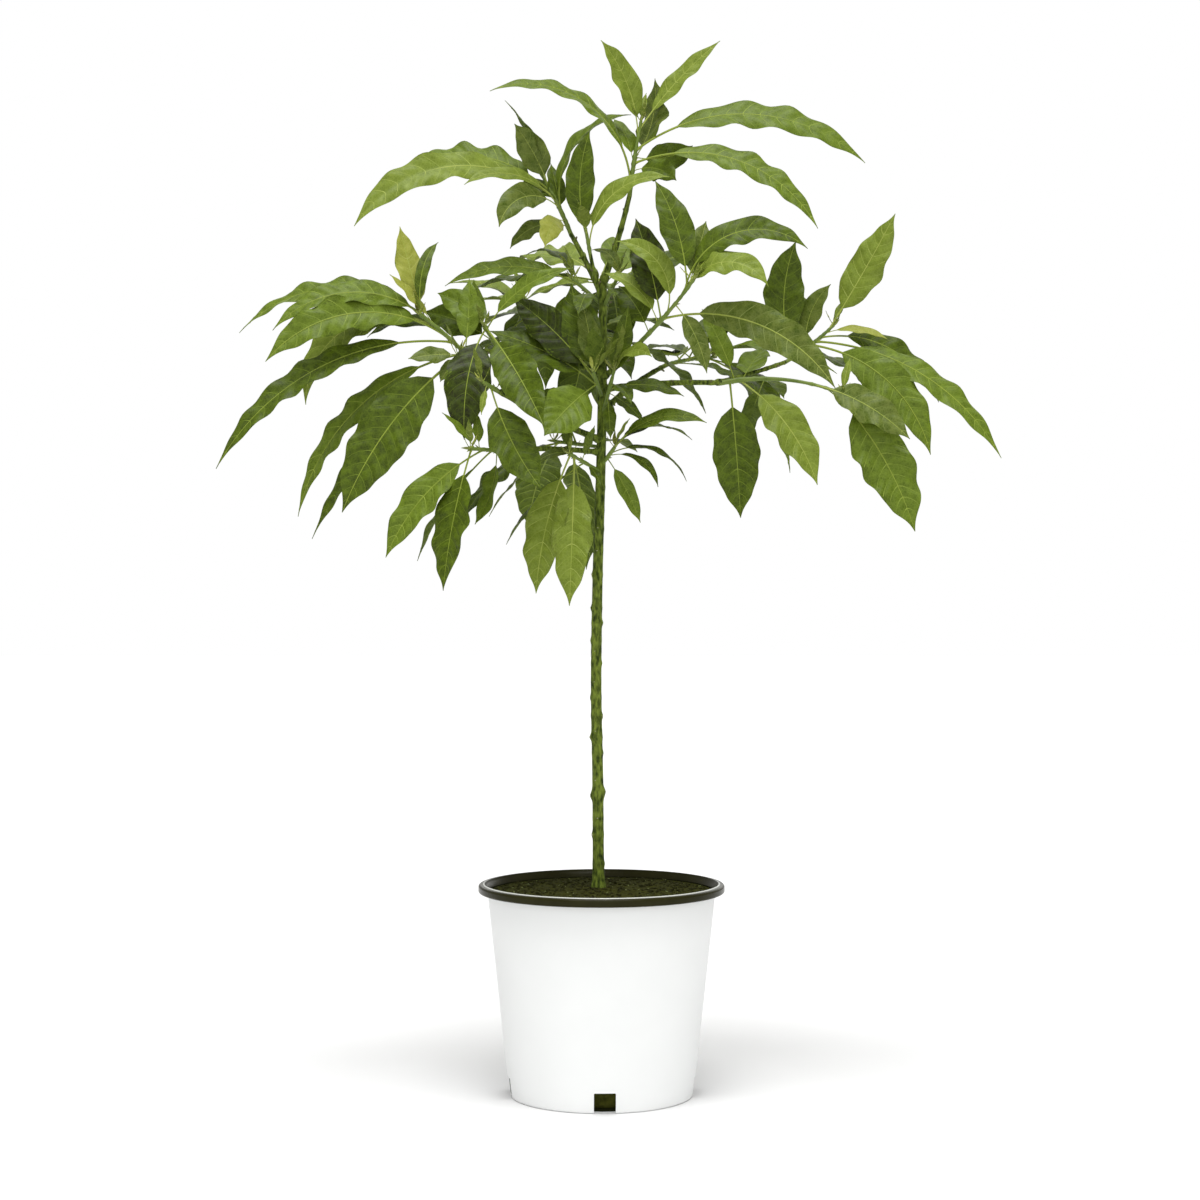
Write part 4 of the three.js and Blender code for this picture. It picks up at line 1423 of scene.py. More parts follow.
class Bark:
    """The trunk and its boughs in one mesh with the bark's relief, its pale scars and its stubs."""

    TRUNK_SIDES = 28
    TRUNK_STEP = 2.2
    FOOT_DEPTH = 6.0
    RIB_HEIGHT = 0.11
    RIB_WAVES = ((3, 61.0), (5, -43.0))
    RING_SHARE = 0.28
    KNOB_SPREAD = 0.62
    SPOT_SIDES = 10
    SPOT_DEPTH = 0.5
    SPOT_THICKNESS = 0.75
    SPOT_SHARES = (0.0, 0.7, 1.0)
    SPOT_RADII = (1.0, 0.95, 0.5)
    SPOT_FLATNESS = 0.62
    BOUGH_SIDES = 16
    BOUGH_STEP = 3.0
    FEWEST_BOUGH_RINGS = 12
    BOUGH_SEED = 17
    COLLAR_SWELL = 1.6
    COLLAR_REACH = 4.5
    FIRST_JOINT: Span = (18, 30)
    JOINT_STEP: Span = (13, 26)
    JOINT_SWELL: Span = (0.3, 0.6)
    JOINT_REACH = 2.2
    BARE_TIP = 6
    STUB_SIDES = 7
    STUB_CLIMB = 0.7
    STUB_DEPTH = 0.6
    STUB_LENGTH: Span = (3.0, 5.2)
    STUB_SHARES = (0.0, 0.5, 0.85, 1.0)
    STUB_RADII = (1.5, 1.15, 1.0, 0.5)

    def __init__(self, crown: Crown) -> None:
        """Starts with nothing built.

        Args:
            crown: The crown, whose limbs the bark covers.
        """
        self.crown = crown
        self.skin = MeshHeap()
        self.spots = MeshHeap()
        self.stubs = MeshHeap()

    @staticmethod
    def trunk_radius(height: np.ndarray) -> np.ndarray:
        """The trunk's radius without its scars.

        Args:
            height: Heights above the floor.

        Returns:
            One radius for each height.
        """
        t = np.clip((height - TRUNK_FOOT) / (TRUNK_TOP - TRUNK_FOOT), 0.0, 1.0)
        taper = TRUNK_FOOT_RADIUS + (TRUNK_TOP_RADIUS - TRUNK_FOOT_RADIUS) * t**TRUNK_TAPER_POWER
        return taper + TRUNK_FLARE * np.exp(-np.maximum(height - TRUNK_FOOT, 0.0) / TRUNK_FLARE_HEIGHT)

    def build(self) -> None:
        """Builds the trunk, the boughs and the scars."""
        self._build_trunk()
        for bough in BOUGHS:
            self._build_bough(bough)

    def _build_trunk(self) -> None:
        """Builds the trunk with its swollen scars and faint ribs."""
        axis = self.crown.limbs["trunk"].axis
        steps = int((TRUNK_TOP - TRUNK_FOOT + self.FOOT_DEPTH) / self.TRUNK_STEP)
        heights = np.linspace(TRUNK_FOOT - self.FOOT_DEPTH, TRUNK_TOP, steps)
        angles = np.linspace(0, 2 * math.pi, self.TRUNK_SIDES, endpoint=False)
        radii = np.repeat(self.trunk_radius(heights)[:, None], self.TRUNK_SIDES, axis=1)
        around, up = angles[None, :], heights[:, None]
        ribs = sum(np.sin(count * around + up / rise) for count, rise in self.RIB_WAVES)
        radii = radii + self.RIB_HEIGHT * ribs
        for scar in SCARS:
            turn = np.angle(np.exp(1j * (around + math.radians(scar.heading))))
            near = np.exp(-((up - scar.height) ** 2) / scar.reach**2)
            ring = self.RING_SHARE * scar.bump * near
            knob = scar.bump * np.exp(-((turn / self.KNOB_SPREAD) ** 2)) * near
            radii = radii + ring + knob
            if scar.spot:
                self._add_spot(scar)
        self.skin.add_tube(axis, (heights - TRUNK_FOOT) / axis.length, self.TRUNK_SIDES, radii)

    def _add_spot(self, scar: Scar) -> None:
        """Adds the pale corky spot on a scar, as a flat button sunk in the bark.

        Args:
            scar: The scar.
        """
        axis = self.crown.limbs["trunk"].axis
        centre = axis.at(axis.share_at_height(scar.height)).centre[0]
        bare = float(self.trunk_radius(np.array([scar.height]))[0])
        radius = bare + (1 + self.RING_SHARE) * scar.bump
        turn = math.radians(scar.heading)
        out = np.array([math.cos(turn), math.sin(turn), 0.0])
        start = centre + out * (radius - self.SPOT_DEPTH)
        button = Arc(start, scar.heading, 0.0, self.SPOT_THICKNESS, 0.0)
        radii = scar.spot * np.array(self.SPOT_RADII)
        self.spots.add_tube(
            button, np.array(self.SPOT_SHARES), self.SPOT_SIDES, radii, self.SPOT_FLATNESS
        )

    def _build_bough(self, bough: Bough) -> None:
        """Builds one bough, with a collar where it leaves its carrier and faint joints along it.

        Args:
            bough: The bough.
        """
        axis = self.crown.limbs[bough.name].axis
        steps = max(self.FEWEST_BOUGH_RINGS, int(bough.length / self.BOUGH_STEP))
        shares = np.linspace(0.0, 1.0, steps)
        run = shares * bough.length
        carrier = TRUNK_TOP_RADIUS if bough.on == "trunk" else self.crown.limbs[bough.on].tip
        radii = bough.foot + (bough.tip - bough.foot) * shares
        radii = radii + self.COLLAR_SWELL * np.exp(-(((run - carrier) / self.COLLAR_REACH) ** 2))
        numbers = SeededNumbers(int(bough.at * 10) + self.BOUGH_SEED)
        place = numbers.between(*self.FIRST_JOINT)
        while place < bough.length - self.BARE_TIP:
            swell = numbers.between(*self.JOINT_SWELL)
            radii = radii + swell * np.exp(-(((run - place) / self.JOINT_REACH) ** 2))
            self._add_stub(axis, place, bough, numbers)
            place += numbers.between(*self.JOINT_STEP)
        self.skin.add_tube(axis, shares, self.BOUGH_SIDES, radii)

    def _add_stub(self, axis: Arc, place: float, bough: Bough, numbers: SeededNumbers) -> None:
        """Adds the small knob that a fallen leaf left on a bough.

        Args:
            axis: The bough's axis.
            place: How far along it the knob stands.
            bough: The bough.
            numbers: What the knob's side and length come from.
        """
        section = axis.at(place / bough.length)
        turn = numbers.between(0, 2 * math.pi)
        out = section.side[0] * math.cos(turn) + section.normal[0] * math.sin(turn)
        aim = out + section.along[0] * self.STUB_CLIMB
        heading = math.degrees(math.atan2(aim[1], aim[0]))
        rise = math.degrees(math.asin(aim[2] / np.linalg.norm(aim)))
        start = section.centre[0] + out * bough.tip * self.STUB_DEPTH
        stub = Arc(start, heading, rise, numbers.between(*self.STUB_LENGTH), 0.0)
        shares, radii = np.array(self.STUB_SHARES), np.array(self.STUB_RADII)
        self.stubs.add_tube(stub, shares, self.STUB_SIDES, radii)


# ---------------------------------------------------------------- pot and soil


SPIN_STEPS = 144
WELD = 1e-6


def start_fresh() -> None:
    """Leaves edit mode and deselects everything."""
    if bpy.context.object is not None and bpy.context.object.mode != "OBJECT":
        bpy.ops.object.mode_set(mode="OBJECT")
    bpy.ops.object.select_all(action="DESELECT")


def rounded(
    corner: tuple[float, float], radius: float, start: float, end: float, steps: int
) -> Profile:
    """Points on an arc of a profile.

    Args:
        corner: The arc's centre, as radius and height.
        radius: The arc's own radius.
        start: Its first angle.
        end: Its last angle.
        steps: How many points follow the first.

    Returns:
        The points, as radius and height.
    """
    angles = [math.radians(start + (end - start) * i / steps) for i in range(steps + 1)]
    return [(corner[0] + radius * math.cos(a), corner[1] + radius * math.sin(a)) for a in angles]


def spin_profile(name: str, profile: Profile) -> bpy.types.Object:
    """Draws a closed profile corner by corner and spins it about the pot's axis.

    Args:
        name: The new object's name.
        profile: Its corners in order, as radius and height.

    Returns:
        The new object, with its faces outwards.
    """
    start_fresh()
    bpy.ops.mesh.primitive_plane_add(size=MM, location=(0, 0, 0))
    made = bpy.context.object
    made.name = made.data.name = name
    bpy.ops.object.mode_set(mode="EDIT")
    bpy.ops.mesh.select_all(action="SELECT")
    bpy.ops.mesh.merge(type="CENTER")
    first = Vector((profile[0][0], 0, profile[0][1])) * MM
    bpy.ops.transform.translate(value=first)
    last = first
    for radius, height in [*profile[1:], profile[0]]:
        corner = Vector((radius, 0, height)) * MM
        bpy.ops.mesh.extrude_vertices_move(TRANSFORM_OT_translate={"value": corner - last})
        last = corner
    bpy.ops.mesh.select_all(action="SELECT")
    bpy.ops.mesh.remove_doubles(threshold=WELD)
    bpy.ops.mesh.spin(steps=SPIN_STEPS, angle=2 * math.pi, center=(0, 0, 0), axis=(0, 0, 1))
    bpy.ops.mesh.select_all(action="SELECT")
    bpy.ops.mesh.remove_doubles(threshold=WELD)
    bpy.ops.mesh.normals_make_consistent(inside=False)
    bpy.ops.object.mode_set(mode="OBJECT")
    return made


def smooth_by_angle(piece: bpy.types.Object, angle: float) -> None:
    """Shades a piece smooth, with its sharper edges kept.

    Args:
        piece: The piece.
        angle: The angle past which an edge stays sharp.
    """
    start_fresh()
    piece.select_set(True)
    bpy.context.view_layer.objects.active = piece
    bpy.ops.object.shade_smooth_by_angle(angle=math.radians(angle))


def apply_modifier(piece: bpy.types.Object, modifier: bpy.types.Modifier) -> None:
    """Applies one modifier.

    Args:
        piece: The piece that has it.
        modifier: The modifier.
    """
    start_fresh()
    piece.select_set(True)
    bpy.context.view_layer.objects.active = piece
    bpy.ops.object.modifier_apply(modifier=modifier.name)


@dataclass
class NurseryPot:
    """The white tapered pot with its drain notches, its black rolled rim and a pale strip on the rim's top
    edge that is a painted highlight.
    """

    notch_count: int = 4
    notch_width: float = 24.0
    side_notch_width: float = 50.0
    notch_height: float = 23.0
    notch_turn: float = 2.0
    notch_depth: float = 14.0
    notch_sill: float = 0.9
    notch_round: float = 1.2
    skin: float = 1.2
    skin_gap: float = 0.05
    base_round: float = 7.0
    floor_round: float = 5.0
    tuck: float = 2.0
    first_ring: float = 12.0
    wall_rings: int = 12
    top_round: float = 0.8
    top_bevel: float = 0.6
    bead_radius: float = 133.4
    bead_round: float = 1.2
    bead_depth: float = 2.4
    rim_foot_round: float = 2.2
    rim_top_round: float = 3.0
    rim_shoulder: float = 0.8
    rim_dip: float = 0.9
    rim_web: float = 4.0
    # The edge sizes place the pale strip that carries the painted highlight on the rim.
    edge_offset: float = 0.35
    edge_drop: float = 1.25
    edge_outer: float = 1.24
    edge_inner: float = 0.8
    edge_arc: Span = (12, 100)
    wall_crease: float = 30.0
    rim_crease: float = 40.0
    pieces: list[bpy.types.Object] = field(default_factory=list)

    @staticmethod
    def wall_radius(height: float) -> float:
        """The outer radius of the wall at a height."""
        share = (height - POT_FOOT_ROUND) / (POT_HEIGHT - RIM_HEIGHT - POT_FOOT_ROUND)
        return POT_BASE_RADIUS + (POT_SHOULDER_RADIUS - POT_BASE_RADIUS) * share

    def _cut_notches(self, piece: bpy.types.Object, side_width: float) -> None:
        """Cuts the drain notches out of the foot of a piece and shades it.

        Args:
            piece: The piece.
            side_width: The width of the notches at the sides.
        """
        for i in range(self.notch_count):
            width = side_width if i % 2 else self.notch_width
            self._cut_notch(piece, math.radians(self.notch_turn + 360 / self.notch_count * i), width)
        smooth_by_angle(piece, self.wall_crease)

    def build_skin(self) -> bpy.types.Object:
        """Turns the white outer skin and cuts the drain notches.

        Returns:
            The skin.
        """
        top = POT_HEIGHT - RIM_HEIGHT + self.tuck
        foot = POT_FOOT_ROUND
        wall = np.linspace(foot + self.first_ring, top - self.top_round, self.wall_rings)
        profile = [
            (POT_BASE_RADIUS - self.base_round, 0.0),
            *rounded((POT_BASE_RADIUS - foot, foot), foot, -90, -4, 7),
            *((self.wall_radius(height), height) for height in wall),
            (self.wall_radius(top) - self.top_bevel, top),
            (self.wall_radius(top) - self.skin, top),
            (self.wall_radius(foot + 1) - self.skin, foot + 1),
            (POT_BASE_RADIUS - self.base_round, self.skin),
        ]
        skin = spin_profile("pot_skin", profile)
        self._cut_notches(skin, self.side_notch_width)
        return skin

    def build_liner(self) -> bpy.types.Object:
        """Turns the black inside of the wall with the pot's floor and cuts the drain notches.

        Returns:
            The liner.
        """
        top = POT_HEIGHT - RIM_HEIGHT + self.tuck
        bend = self.floor_round
        profile = [
            (0.0, self.skin),
            (POT_BASE_RADIUS - self.base_round - 1, self.skin),
            (POT_BASE_RADIUS - self.base_round, self.skin + self.skin_gap),
            (self.wall_radius(4) - self.skin - self.skin_gap, 4.1),
            (self.wall_radius(top) - self.skin - self.skin_gap, top),
            (self.wall_radius(top) - POT_WALL, top),
            (self.wall_radius(POT_FLOOR + bend) - POT_WALL, POT_FLOOR + bend),
            (self.wall_radius(POT_FLOOR) - POT_WALL - bend, POT_FLOOR),
            (0.0, POT_FLOOR),
        ]
        liner = spin_profile("pot_liner", profile)
        self._cut_notches(liner, self.notch_width)
        return liner

    def _cut_notch(self, body: bpy.types.Object, turn: float, width: float) -> None:
        """Cuts one drain notch with rounded corners out of the foot of the wall.

        Args:
            body: The piece that is cut.
            turn: Where the notch stands: 0 is in front.
            width: Its width.
        """
        start_fresh()
        bpy.ops.mesh.primitive_cube_add(size=1.0, location=(0, 0, 0))
        cutter = bpy.context.object
        bpy.ops.object.mode_set(mode="EDIT")
        bpy.ops.mesh.select_all(action="SELECT")
        bpy.ops.transform.resize(
            value=(width * MM, self.notch_depth * MM, (self.notch_height - self.notch_sill) * MM),
            center_override=(0, 0, 0),
        )
        bpy.ops.mesh.bevel(offset=self.notch_round * MM, segments=3, affect="EDGES")
        middle = (self.notch_height + self.notch_sill) / 2
        bpy.ops.transform.translate(value=(0, -POT_BASE_RADIUS * MM, middle * MM))
        bpy.ops.mesh.select_all(action="SELECT")
        bpy.ops.object.mode_set(mode="OBJECT")
        cutter.rotation_euler = (0, 0, turn)
        bpy.ops.object.transform_apply(location=True, rotation=True, scale=True)
        modifier = body.modifiers.new("notch", "BOOLEAN")
        modifier.operation = "DIFFERENCE"
        modifier.solver = "EXACT"
        modifier.object = cutter
        apply_modifier(body, modifier)
        bpy.data.objects.remove(cutter)

    def build_rim(self) -> bpy.types.Object:
        """Turns the rolled rim.

        Returns:
            The rim.
        """
        foot = POT_HEIGHT - RIM_HEIGHT
        bead, low, high = self.bead_radius, self.rim_foot_round, self.rim_top_round
        profile = [
            (RIM_FOLD_RADIUS, foot),
            *rounded((RIM_RADIUS - low, foot + low), low, -90, 0, 6),
            *rounded((RIM_RADIUS - high, POT_HEIGHT - (high + self.rim_shoulder)), high, 0, 90, 9),
            (bead + self.bead_round, POT_HEIGHT - self.rim_dip),
            *rounded((bead, POT_HEIGHT - self.bead_round), self.bead_round, 30, 170, 7),
            (bead - self.bead_depth, POT_HEIGHT - 3.2),
            (RIM_FOLD_RADIUS + 1.0, foot + self.rim_web),
        ]
        rim = spin_profile("pot_lip", profile)
        smooth_by_angle(rim, self.rim_crease)
        return rim

    def build_highlight_strip(self) -> bpy.types.Object:
        """Turns the fine pale strip that runs round the top of the rim. Its light grey colour is a painted
        highlight, standing in for the glint of light along the rim's top edge.

        Returns:
            The edge.
        """
        centre = (self.bead_radius + self.edge_offset, POT_HEIGHT - self.edge_drop)
        first, last = self.edge_arc
        outer = rounded(centre, self.edge_outer, first, last, 7)
        inner = rounded(centre, self.edge_inner, last, first, 7)
        edge = spin_profile("pot_lip_edge", [*outer, *inner])
        smooth_by_angle(edge, self.rim_crease)
        return edge

    def build(self) -> None:
        """Builds and dresses the pot."""
        skin = self.build_skin()
        wear(skin, MottledFinish(
            "satin white plastic",
            tint(0.865, 0.875, 0.87),
            tint(0.84, 0.85, 0.845),
            roughness=(0.34, 0.44),
            blotch_scale=9.0,
            relief=0.04,
            relief_depth=0.0003,
            specular=0.4,
        ).build())
        black = MottledFinish(
            "glossy black plastic",
            tint(0.016, 0.015, 0.003),
            tint(0.024, 0.023, 0.006),
            roughness=(0.2, 0.28),
            blotch_scale=24.0,
            relief=0.03,
            relief_depth=0.0002,
            specular=0.09,
        ).build()
        liner = self.build_liner()
        wear(liner, MottledFinish(
            "dull black plastic",
            tint(0.009, 0.010, 0.003),
            tint(0.014, 0.015, 0.005),
            roughness=(0.6, 0.75),
            blotch_scale=24.0,
            specular=0.02,
        ).build())
        for piece in (skin, liner):
            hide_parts("pot")
        rim = self.build_rim()
        wear(rim, black)
        edge = self.build_highlight_strip()
        # The strip's light grey colour is a painted highlight: the glint of light along the rim's top edge,
        # painted in.
        wear(edge, MottledFinish(
            "painted highlight on rim edge",
            tint(0.60, 0.61, 0.57),
            tint(0.50, 0.51, 0.47),
            roughness=(0.2, 0.3),
            blotch_scale=30.0,
            specular=0.5,
        ).build())
        for piece in (rim, edge):
            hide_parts("pot_rim")
        self.pieces = [skin, liner, rim, edge]


@dataclass
class SoilBed:
    """The potting mix: a lumpy bed with crumbs of bark and a few pale chips on it."""

    edge_top: float = 231.0
    crown: float = 235.6
    edge_radius: float = 126.0
    rings: int = 46
    coarse_span: float = 13
    fine_span: float = 4.2
    coarse_layer: float = 3.1
    fine_layer: float = 8.4
    coarse_lump: float = 0.9
    fine_lump: float = 0.55
    settling: float = 0.4
    calm_edge: float = 9
    corner_round: float = 6
    crease: float = 50.0
    crumbs: int = 900
    crumb_roughness: float = 0.12
    chips: int = 90
    bare_edge: float = 3
    greatest_tilt: float = 0.5
    thickness: Span = (0.4, 0.8)
    lift: float = 0.12
    pieces: list[bpy.types.Object] = field(default_factory=list)

    def surface_height(self, x: float, y: float) -> float:
        """The bed's height at a place, lumps included.

        Args:
            x: How far right of the pot's axis the place is.
            y: How far behind it.

        Returns:
            The height above the floor.
        """
        share = min(1.0, math.hypot(x, y) / self.edge_radius)
        bed = self.crown + (self.edge_top - self.crown) * share**2
        calm = min(1.0, (1 - share) * self.calm_edge)
        coarse = noise.noise(Vector((x / self.coarse_span, y / self.coarse_span, self.coarse_layer)))
        fine = noise.noise(Vector((x / self.fine_span, y / self.fine_span, self.fine_layer)))
        return bed + calm * (self.coarse_lump * coarse + self.fine_lump * fine - self.settling)

    @staticmethod
    def _inner_radius(height: float) -> float:
        """The bed's radius at a height, a gap inside the wall."""
        return NurseryPot.wall_radius(height) - POT_WALL - GAP

    def build_bed(self) -> bpy.types.Object:
        """Turns the bed and raises its lumps.

        Returns:
            The bed.
        """
        inner, bend, top = self._inner_radius, self.corner_round, POT_HEIGHT - RIM_HEIGHT
        rings = [(self.edge_radius * (1 - i / self.rings), self.crown) for i in range(self.rings)]
        profile = [
            (0.0, POT_FLOOR + GAP),
            (inner(POT_FLOOR) - bend, POT_FLOOR + GAP),
            (inner(POT_FLOOR + bend), POT_FLOOR + bend),
            (inner(top) - GAP, top - 1.0),
            *rings,
            (0.0, self.crown),
        ]
        bed = spin_profile("soil_bed", profile)
        for corner in bed.data.vertices:
            if corner.co.z > (self.crown - 0.5) * MM:
                corner.co.z = self.surface_height(corner.co.x / MM, corner.co.y / MM) * MM
        smooth_by_angle(bed, self.crease)
        return bed

    def _crumb(self) -> tuple[np.ndarray, np.ndarray]:
        """One rough crumb, modelled once.

        Returns:
            Its corners, about 1 across, and its faces.
        """
        start_fresh()
        bpy.ops.mesh.primitive_ico_sphere_add(subdivisions=1, radius=0.5, location=(0, 0, 0))
        crumb = bpy.context.object
        bpy.ops.object.mode_set(mode="EDIT")
        bpy.ops.mesh.select_all(action="SELECT")
        bpy.ops.transform.vertex_random(offset=self.crumb_roughness, seed=4)
        bpy.ops.object.mode_set(mode="OBJECT")
        corners = np.array([corner.co for corner in crumb.data.vertices])
        faces = np.array([face.vertices[:] for face in crumb.data.polygons])
        bpy.data.objects.remove(crumb)
        return corners, faces

    def scatter(self, name: str, count: int, seed: int, sizes: Span, long: float) -> bpy.types.Object:
        """Scatters copies of the crumb over the bed.

        Args:
            name: The new object's name.
            count: How many copies.
            seed: What their places come from.
            sizes: The least and greatest width of a copy.
            long: How much longer than wide a copy may be.

        Returns:
            All copies as one object.
        """
        corners, faces = self._crumb()
        heap, numbers = MeshHeap(), SeededNumbers(seed)
        for _ in range(count):
            radius = (self.edge_radius - self.bare_edge) * math.sqrt(numbers.draw())
            turn, yaw, tilt = (numbers.between(0, 2 * math.pi) for _ in range(3))
            x, y = radius * math.cos(turn), radius * math.sin(turn)
            if math.hypot(x - TRUNK_SWAY[0][0], y) < TRUNK_FOOT_RADIUS + TRUNK_FLARE + 1:
                continue
            size = numbers.between(*sizes)
            length = size * numbers.between(1.0, long)
            scaled = corners * (length, size, size * numbers.between(*self.thickness))
            tip = self.greatest_tilt * math.sin(tilt)
            cosine, sine = math.cos(tip), math.sin(tip)
            lean = np.array([[cosine, 0, sine], [0, 1, 0], [-sine, 0, cosine]])
            cosine, sine = math.cos(yaw), math.sin(yaw)
            spin = np.array([[cosine, -sine, 0], [sine, cosine, 0], [0, 0, 1]])
            height = self.surface_height(x, y) + size * self.lift
            heap.add_faces(scaled @ lean.T @ spin.T + (x, y, height), faces)
        return heap.to_object(name, smooth=False)

    def build(self) -> None:
        """Builds and dresses the bed, its crumbs and its chips."""
        bed = self.build_bed()
        wear(bed, MottledFinish(
            "moist potting mix",
            tint(0.021, 0.022, 0.003),
            tint(0.040, 0.042, 0.006),
            roughness=(0.85, 0.98),
            blotch_scale=190.0,
            relief=0.6,
            relief_depth=0.001,
            specular=0.03,
        ).build())
        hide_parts("soil")
        crumbs = self.scatter("soil_crumbs", self.crumbs, 41, (1.6, 4.6), 1.9)
        wear(crumbs, MottledFinish(
            "dark bark crumbs",
            tint(0.015, 0.016, 0.004),
            tint(0.034, 0.034, 0.011),
            roughness=(0.8, 0.95),
            blotch_scale=120.0,
            specular=0.03,
        ).build())
        chips = self.scatter("soil_chips", self.chips, 97, (1.0, 2.4), 2.6)
        wear(chips, MottledFinish(
            "pale wood chips",
            tint(0.075, 0.100, 0.018),
            tint(0.150, 0.170, 0.060),
            roughness=(0.7, 0.9),
            blotch_scale=150.0,
            specular=0.25,
        ).build())
        self.pieces = [bed, crumbs, chips]


# ---------------------------------------------------------------- dressing the plant


UNDERSIDE_COLOURS = {
    False: (tint(0.052, 0.084, 0.006), tint(0.088, 0.126, 0.013)),
    True: (tint(0.098, 0.138, 0.014), tint(0.145, 0.182, 0.030)),
}
RIB_COLOURS = {
    False: (tint(0.250, 0.310, 0.042), tint(0.190, 0.245, 0.030)),
    True: (tint(0.350, 0.400, 0.085), tint(0.270, 0.330, 0.055)),
}


class PlantDresser:
    """Turns the crown's and the bark's heaps into pieces and gives them their finishes."""

    def __init__(self, crown: Crown, bark: Bark) -> None:
        """Takes what was grown.

        Args:
            crown: The crown.
            bark: The bark of its limbs.
        """
        self.crown = crown
        self.bark = bark
        self.pieces: list[bpy.types.Object] = []

    def _piece(
        self, heap: MeshHeap, name: str, finish: MottledFinish, nodes: Sequence[str]
    ) -> None:
        """Makes one dressed piece of a heap, if it holds anything.

        Args:
            heap: The heap.
            name: The new object's name.
            finish: What it wears.
            nodes: The nodes of the frame that it replaces.
        """
        if heap.is_empty:
            return
        piece = heap.to_object(name)
        wear(piece, finish.build())
        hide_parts(*nodes)
        self.pieces.append(piece)

    def dress_leaves(self) -> None:
        """Makes the leaf blades, undersides, veins and midribs."""
        masses = sorted(self.crown.leaves.masses)
        piles = self.crown.leaves
        for tone in LeafTone:
            word, (colour, second), veins = tone.value, LEAF_COLOURS[tone], VEIN_COLOURS[tone]
            blade = MottledFinish(
                f"{word} leaf", colour, second, (0.36, 0.52), 120.0, specular=0.14, net=veins
            )
            self._piece(piles.tops[tone], f"leaf_blades_{word}", blade, masses)
            vein = MottledFinish(f"{word} leaf veins", veins, second, (0.5, 0.6), 60.0, specular=0.12)
            self._piece(piles.veins[tone], f"leaf_veins_{word}", vein, masses)
        for pale, word in ((False, "dull"), (True, "pale")):
            colours, ribs = UNDERSIDE_COLOURS[pale], RIB_COLOURS[pale]
            under = MottledFinish(
                f"{word} leaf underside", *colours, (0.5, 0.62), 120.0, specular=0.1, net=ribs[0]
            )
            self._piece(piles.undersides[pale], f"leaf_undersides_{word}", under, masses)
            rib = MottledFinish(f"{word} midrib and stalk", *ribs, (0.4, 0.5), 34.0, specular=0.15)
            self._piece(piles.midribs[pale], f"leaf_midribs_{word}", rib, masses)

    def dress_wood(self) -> None:
        """Makes the bark, its scars and stubs, the shoots' stems and the buds."""
        limbs = list(self.crown.limbs)
        masses = sorted(self.crown.leaves.masses)
        bark = MottledFinish(
            "green bark",
            tint(0.020, 0.036, 0.002),
            tint(0.186, 0.246, 0.032),
            roughness=(0.5, 0.7),
            blotch_scale=300.0,
            stretch=(1.0, 1.0, 0.36),
            relief=0.7,
            relief_depth=0.0008,
            specular=0.12,
        )
        self._piece(self.bark.skin, "bark", bark, limbs)
        spot = MottledFinish(
            "corky leaf scars", tint(0.42, 0.42, 0.24), tint(0.30, 0.29, 0.17), (0.7, 0.85), 300.0
        )
        self._piece(self.bark.spots, "leaf_scars", spot, ["trunk"])
        stub = MottledFinish(
            "brown leaf stubs", tint(0.085, 0.085, 0.025), tint(0.13, 0.12, 0.05), (0.6, 0.8), 200.0
        )
        self._piece(self.bark.stubs, "leaf_stubs", stub, limbs[1:])
        stem = MottledFinish(
            "green shoots",
            tint(0.105, 0.160, 0.020),
            tint(0.165, 0.225, 0.038),
            roughness=(0.42, 0.55),
            blotch_scale=70.0,
            stretch=(1.0, 1.0, 0.5),
            specular=0.3,
        )
        self._piece(self.crown.stems, "shoot_stems", stem, masses)
        bud = MottledFinish("buds", tint(0.230, 0.280, 0.050), tint(0.150, 0.170, 0.040), (0.5, 0.65), 160.0)
        self._piece(self.crown.buds, "buds", bud, masses)


# ---------------------------------------------------------------- studio


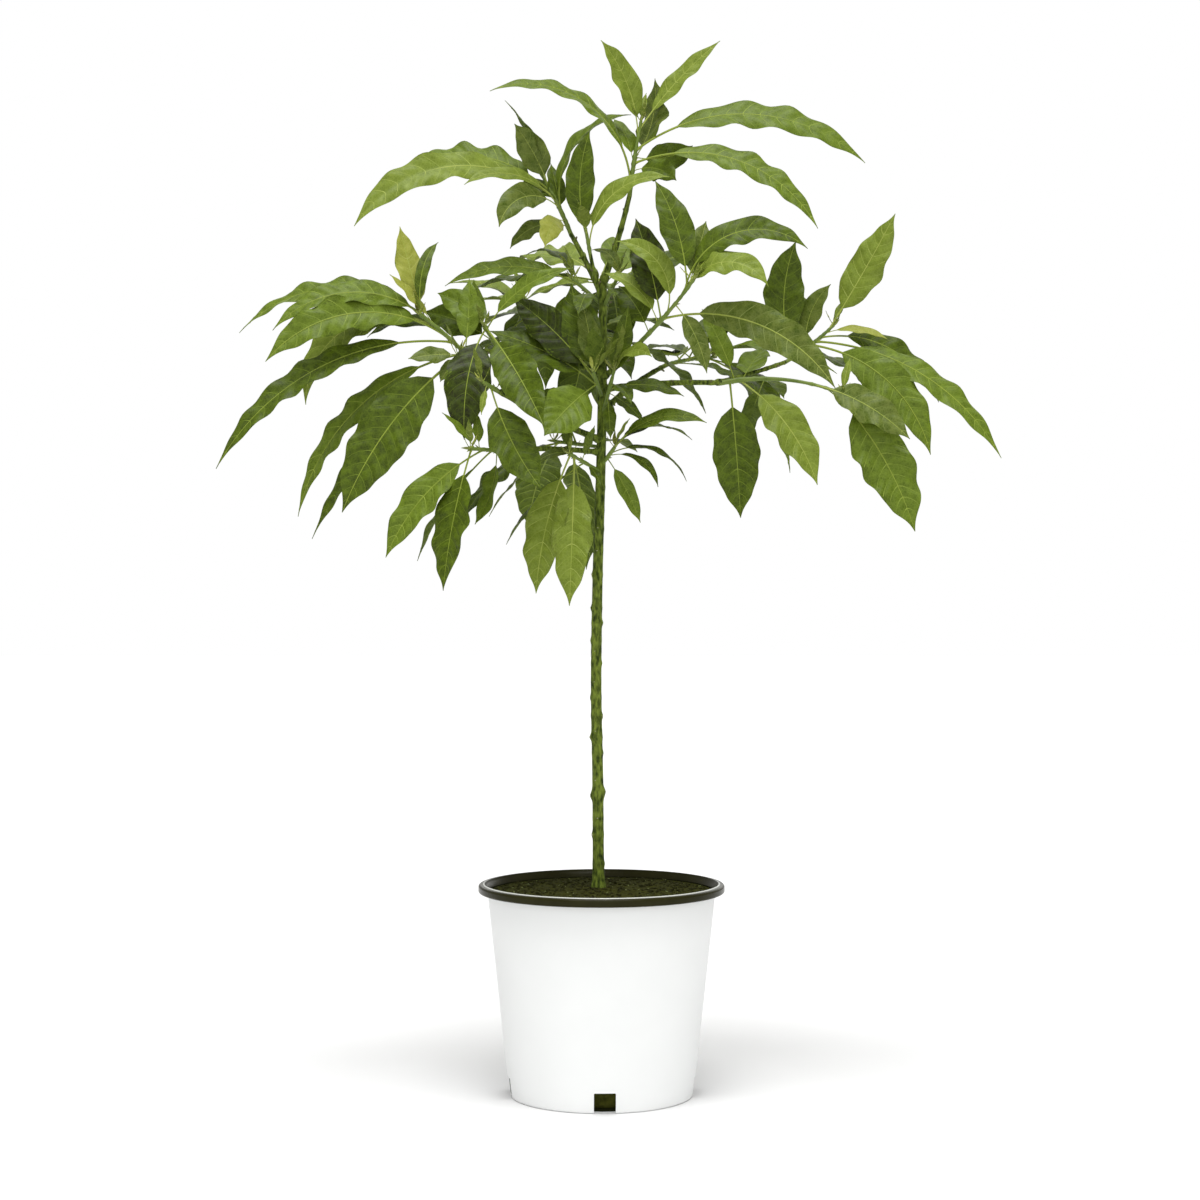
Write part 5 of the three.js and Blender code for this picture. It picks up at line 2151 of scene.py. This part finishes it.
@dataclass
class Studio:
    """The floor, the lights, the white surround and the camera."""

    camera_place: Point = (-0.0017, -2.6, 0.562)
    lens: float = 68.5
    sensor: float = 36.0
    clip: Span = (0.05, 100.0)
    floor_size: float = 40.0
    surround_light: float = 0.42

    def build_floor(self) -> None:
        """Lays a plain pale floor."""
        start_fresh()
        bpy.ops.mesh.primitive_plane_add(size=self.floor_size, location=(0, 0, 0))
        floor = bpy.context.object
        floor.name = "studio_floor"
        wear(floor, MottledFinish(
            "pale studio floor",
            tint(0.745, 0.745, 0.745),
            tint(0.755, 0.755, 0.755),
            roughness=(0.7, 0.8),
            blotch_scale=2.0,
            relief=0.0,
            specular=0.1,
        ).build())

    @staticmethod
    def _sun(name: str, strength: float, spread: float, azimuth: float, elevation: float) -> None:
        """Adds one soft distant light.

        Args:
            name: Its name.
            strength: Its strength.
            spread: How wide it looks, in degrees.
            azimuth: Where it stands: 0 is in front, 90 to the right.
            elevation: How high it stands.
        """
        data = bpy.data.lights.new(name, "SUN")
        data.energy = strength
        data.angle = math.radians(spread)
        lamp = bpy.data.objects.new(name, data)
        turn, up = math.radians(azimuth), math.radians(elevation)
        level = math.cos(up)
        towards = Vector((math.sin(turn) * level, -math.cos(turn) * level, math.sin(up)))
        lamp.rotation_euler = towards.to_track_quat("Z", "Y").to_euler()
        bpy.context.scene.collection.objects.link(lamp)

    def _surround(self) -> None:
        """Makes the surround white to look at and softer as a light."""
        world = bpy.data.worlds.new("white surround")
        bpy.context.scene.world = world
        world.use_nodes = True
        tree = world.node_tree
        seen = tree.nodes["Background"]
        seen.inputs["Color"].default_value = (1.0, 1.0, 1.0, 1.0)
        seen.inputs["Strength"].default_value = 1.0
        lit = tree.nodes.new("ShaderNodeBackground")
        lit.inputs["Color"].default_value = (1.0, 1.0, 0.98, 1.0)
        lit.inputs["Strength"].default_value = self.surround_light
        path = tree.nodes.new("ShaderNodeLightPath")
        mix = tree.nodes.new("ShaderNodeMixShader")
        tree.links.new(path.outputs["Is Camera Ray"], mix.inputs["Fac"])
        tree.links.new(lit.outputs["Background"], mix.inputs[1])
        tree.links.new(seen.outputs["Background"], mix.inputs[2])
        tree.links.new(mix.outputs["Shader"], tree.nodes["World Output"].inputs["Surface"])

    def build_camera(self) -> None:
        """Sets the camera up, level and straight in front."""
        data = bpy.data.cameras.new("camera")
        data.lens = self.lens
        data.sensor_width = self.sensor
        data.clip_start, data.clip_end = self.clip
        camera = bpy.data.objects.new("camera", data)
        camera.location = self.camera_place
        camera.rotation_euler = (math.radians(90), 0, 0)
        bpy.context.scene.collection.objects.link(camera)
        bpy.context.scene.camera = camera

    def build(self) -> None:
        """Builds the studio."""
        self.build_floor()
        self._surround()
        self._sun("key", 1.5, 32.0, 36.0, 75.0)
        self._sun("second", 1.68, 32.0, -36.0, 75.0)
        self._sun("fill", 0.74, 60.0, 4.0, 22.0)
        self._sun("back light", 0.55, 60.0, 172.0, 34.0)
        self.build_camera()
        bpy.context.scene.view_settings.view_transform = "Standard"


# ---------------------------------------------------------------- the whole scene


def report(pieces: Sequence[bpy.types.Object]) -> None:
    """Makes each piece ride on the part's one body and logs its size.

    Args:
        pieces: The pieces.
    """
    for piece in pieces:
        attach(piece, "root")
        triangles = sum(len(face.vertices) - 2 for face in piece.data.polygons)
        LOG.info("%s: %d triangles", piece.name, triangles)


def main() -> None:
    """Builds the pot, the soil, the plant and the studio."""
    logging.basicConfig(level=logging.INFO, format="%(name)s: %(message)s")
    pot = NurseryPot()
    pot.build()
    report(pot.pieces)
    soil = SoilBed()
    soil.build()
    report(soil.pieces)
    crown = Crown()
    crown.grow()
    LOG.info("leaves without a solid: %d", crown.left_out)
    bark = Bark(crown)
    bark.build()
    dresser = PlantDresser(crown, bark)
    dresser.dress_wood()
    dresser.dress_leaves()
    report(dresser.pieces)
    Studio().build()


if __name__ == "__main__":
    main()
